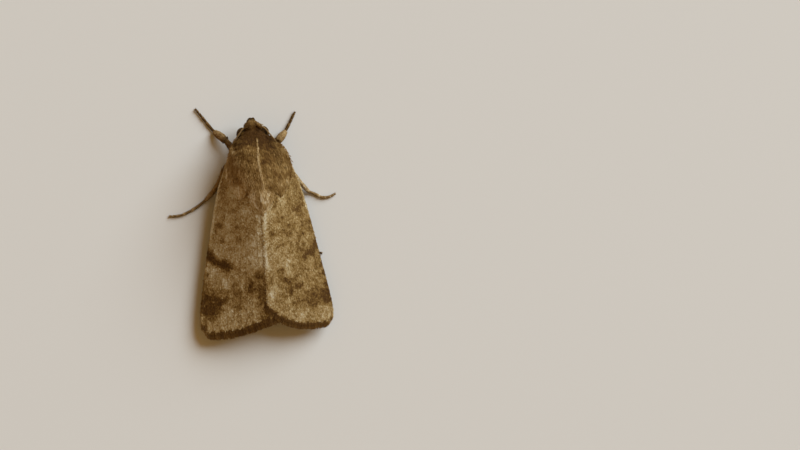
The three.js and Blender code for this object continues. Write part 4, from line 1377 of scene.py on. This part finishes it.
def makeSegmentTree():
    tree, add, given = startTree(
        "antennaSegments", Geometry=["Line"], Object=["Segment"], Float=["Length", "Taper"],
        Material=["Finish"],
    )
    line = add("GeometryNodeMeshToCurve", {"Mesh": given["Line"]})
    line = add("GeometryNodeResampleCurve", {"Curve": line, "Length": given["Length"]}, mode="LENGTH")
    facing = add("FunctionNodeAxesToRotation", {
        "Primary Axis": add("GeometryNodeInputTangent"), "Secondary Axis": (0.0, 0.0, 1.0),
    }, primary_axis="Y", secondary_axis="Z")
    way = add("GeometryNodeSplineParameter")
    size = add("ShaderNodeMath", [way, given["Taper"], 1.0], operation="MULTIPLY_ADD")
    row = add("GeometryNodeInstanceOnPoints", {
        "Points": line, "Rotation": facing, "Scale": add("ShaderNodeCombineXYZ", [size, 1.0, size]),
        "Instance": add("GeometryNodeObjectInfo", {"Object": given["Segment"]}).node.outputs["Geometry"],
    })
    return endTree(tree, add("GeometryNodeRealizeInstances", [row]), given["Finish"])


def makeSegment():  # a short barrel with a collar at its far end
    turns = 2 * math.pi * np.arange(antenna["sides"]) / antenna["sides"]
    length, radius = antenna["segment"], antenna["radius"]
    skin = ringSkin(np.array([
        [(radius * s * math.cos(a), length * t, radius * s * math.sin(a)) for a in turns]
        for t, s in antenna["barrel"]
    ]))
    return makeObject("antennaSegment", {"points": skin["points"], "faces": skin["faces"]})


def makeAntenna(side):
    line = smoothLine([(sideSign[side] * x, y, z) for x, y, z in antenna["line"]])
    path = toRow(line(np.linspace(0.02, 1, 120))).tolist()
    host = linkObject("antennaHost", bpy.data.meshes.new("antennaHost"))
    host.data.from_pydata(path, [(i, i + 1) for i in range(len(path) - 1)], [])
    shaft = runTree(host, segmentTree, f"antenna_{side}_shaft", {
        "Segment": segment, "Length": antenna["segment"] * mm, "Taper": -antenna["taper"],
        "Finish": dustedShaft,
    })
    bpy.data.objects.remove(host)
    keepPiece(shaft, "feeler", f"antenna_{side}")
    root = line(0.0)
    ahead = unit(line(0.03) - root)
    bulbs = [
        limbSkin(
            [root + ahead * a, root + ahead * (a + b) / 2, root + ahead * b], lambda t, r=r: r, 9, 12,
            antenna["scapeShade"][side], (0.02, 0.02 + n * 0.5, 0.98, 0.45 + n * 0.5),
        )
        for n, (a, b, r) in enumerate(antenna["bulbs"])
    ]
    scape = keepPiece(makeObject(f"antenna_{side}_scape", joinSkins(bulbs), hairWool), "feeler")
    growCoat(scape, f"antenna_{side}_tuft", {**antenna["tuft"], **antenna["tuftOf"][side]}, 1.0, "feeler")


segmentTree = makeSegmentTree()
segment = makeSegment()
for side in sideSign:
    makeAntenna(side)
bpy.data.objects.remove(segment)
print("antennae done")


# mouth parts: scaly palps on either side of the coiled tongue

mouth = {
    "palp": [(0.3, 1.15, 1.35), (0.22, 0.66, 1.42), (0.14, 0.36, 1.8), (0.12, 0.28, 2.2)],
    "palpRadius": [(0.0, 0.13), (0.35, 0.21), (0.75, 0.18), (1.0, 0.14)],
    "palpShade": 0.5,
    # the darker palp tips are painted shade where the tips face forward
    "palpTipShade": 0.14,
    "coat": dict(leaf="headHair", spacing=0.035, perMm2=2400, lift=17, liftSpread=8, splay=16, size=0.6,
                 steepest=0.7, seed=83),
    "coil": {"centre": (0.95, 1.52), "turns": 2.6, "outer": 0.23, "radius": 0.045, "shade": 0.4},
}
palpSize = profile(mouth["palpRadius"])
for side, sign in sideSign.items():
    palp = limbSkin(
        [(sign * x, y, z) for x, y, z in mouth["palp"]], lambda t: float(palpSize(t)), 26, 16,
        # darker towards the tip: painted shade
        lambda t: mouth["palpShade"] - mouth["palpTipShade"] * ramp(t, 0.75, 0.9),
    )
    piece = makeObject(f"palp_{side}_skin", palp, hairWool)
    keepPiece(piece, "feeler", f"palp_{side}")
    growCoat(piece, f"palpHair_{side}", mouth["coat"], 1.0, "feeler")
coil = mouth["coil"]
turns = np.linspace(0, 1, 60)
angle = 2 * math.pi * coil["turns"] * turns
away = coil["outer"] * (1 - 0.72 * turns)
spiral = np.stack([
    0 * turns, coil["centre"][0] + away * np.cos(angle), coil["centre"][1] + away * np.sin(angle),
], -1)
tongue = limbSkin(spiral, lambda t: coil["radius"] * (1 - 0.4 * t), 90, 10, coil["shade"])
keepPiece(makeObject("tongueCoil", tongue, tannedHorn), "feeler")
for leaf in leaves.values():
    bpy.data.objects.remove(leaf)
print("mouth done")


# floor, light and camera

stage = {
    "board": "#cac4b9",
    "flat": 0.4,  # metres from the middle to where the board starts to curve up
    "radius": 1.3,
    "rise": 0.26,
    "sides": 64,
    "sky": "#ffcd82",  # warm fill from the room
    "ambient": 0.36,
    "key": 1.1,
    "keyTint": "#daecff",  # daylight from a window
    "keyFrom": (-0.81, -0.69, 0.7),  # towards the picture's upper right
    "keyDistance": 3.0,
    "keySize": 2.5,
}
view = {
    "lens": 85,
    "sensor": 36,
    "picture": (800, 450),
    "pxPerMm": 10.5,
    "lean": 5,  # degrees that the head leans to the picture's left
    "tilt": 6,  # degrees that the camera stands to the picture's left
    "aim": (0, 10, 0),
    "aimPx": (258, 223),
}


def makeStage():
    # a round board, flat round the moth and curving up far behind it on every side
    sides = stage["sides"]
    turns = 2 * math.pi * np.arange(sides) / sides
    points, faces = [(0, 0, 0)], []
    for r in [stage["flat"] / 2, *np.linspace(stage["flat"], stage["radius"], 16)]:
        lifted = stage["rise"] * (r - stage["flat"]) ** 2 if r > stage["flat"] else 0
        points += [(r * math.cos(a), r * math.sin(a), lifted) for a in turns]
    for k in range(sides):
        n = (k + 1) % sides
        faces.append((0, 1 + k, 1 + n))
        for ring in range(1, len(points) - sides, sides):
            faces.append((ring + k, ring + sides + k, ring + sides + n, ring + n))
    mesh = bpy.data.meshes.new("floor")
    mesh.from_pydata(points, [], faces)
    mesh.polygons.foreach_set("use_smooth", [True] * len(faces))
    floor = linkObject("floor", mesh)
    # Matt painted board: an even pale stone colour.
    paint, _, shader = startMaterial("mattPaintedBoard")
    setInputs(shader, {"Base Color": srgb(stage["board"]), "Roughness": 0.85, "Specular IOR Level": 0.2})
    mesh.materials.append(paint)
    floor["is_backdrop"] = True
    world = bpy.data.worlds.new("paleRoom")
    world.use_nodes = True
    sky = {"Color": srgb(stage["sky"]), "Strength": stage["ambient"]}
    setInputs(world.node_tree.nodes["Background"], sky)
    bpy.context.scene.world = world
    lamp = bpy.data.lights.new("softWindow", "AREA")
    lamp.shape = "DISK"
    lamp.size = stage["keySize"]
    lamp.color = srgb(stage["keyTint"])[:3]
    towards = Vector(stage["keyFrom"]).normalized()
    lamp.energy = stage["key"] * math.pi**2 * stage["keyDistance"] ** 2 / towards.z
    window = linkObject("softWindow", lamp)
    window.location = Vector(toRow(view["aim"])) + towards * stage["keyDistance"]
    window.rotation_euler = towards.to_track_quat("Z", "Y").to_euler()
    bpy.context.scene.view_settings.view_transform = "Standard"


def swing(a, b, angle):  # turns two square directions in their own plane
    return a * math.cos(angle) + b * math.sin(angle), b * math.cos(angle) - a * math.sin(angle)


def makeCamera():
    width, height = view["picture"]
    focal = view["lens"] / view["sensor"] * width
    lean, tilt = math.radians(view["lean"]), math.radians(view["tilt"])
    side = Vector((-math.cos(lean), math.sin(lean), 0))
    down = Vector((math.sin(lean), math.cos(lean), 0))
    right, away = swing(side, Vector(up), tilt)
    dx, dy = view["aimPx"][0] - width / 2, view["aimPx"][1] - height / 2
    yaw = math.atan2(-dx, focal)
    look, right = swing(-away, right, yaw)
    look, down = swing(look, down, math.atan2(-dy * math.cos(yaw), focal))
    lens = bpy.data.cameras.new("camera")
    lens.lens, lens.sensor_width = view["lens"], view["sensor"]
    lens.clip_start, lens.clip_end = 0.005, 20
    camera = linkObject("camera", lens)
    turn = Matrix((right, -down, -look)).transposed()
    place = Vector(toRow(Vector(view["aim"]) + away * focal / view["pxPerMm"]))
    camera.matrix_world = Matrix.Translation(place) @ turn.to_4x4()
    bpy.context.scene.camera = camera


makeStage()
makeCamera()
total = sum(sum(len(p.vertices) - 2 for p in o.data.polygons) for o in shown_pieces() if o.type == "MESH")
print(f"{total} triangles in all")
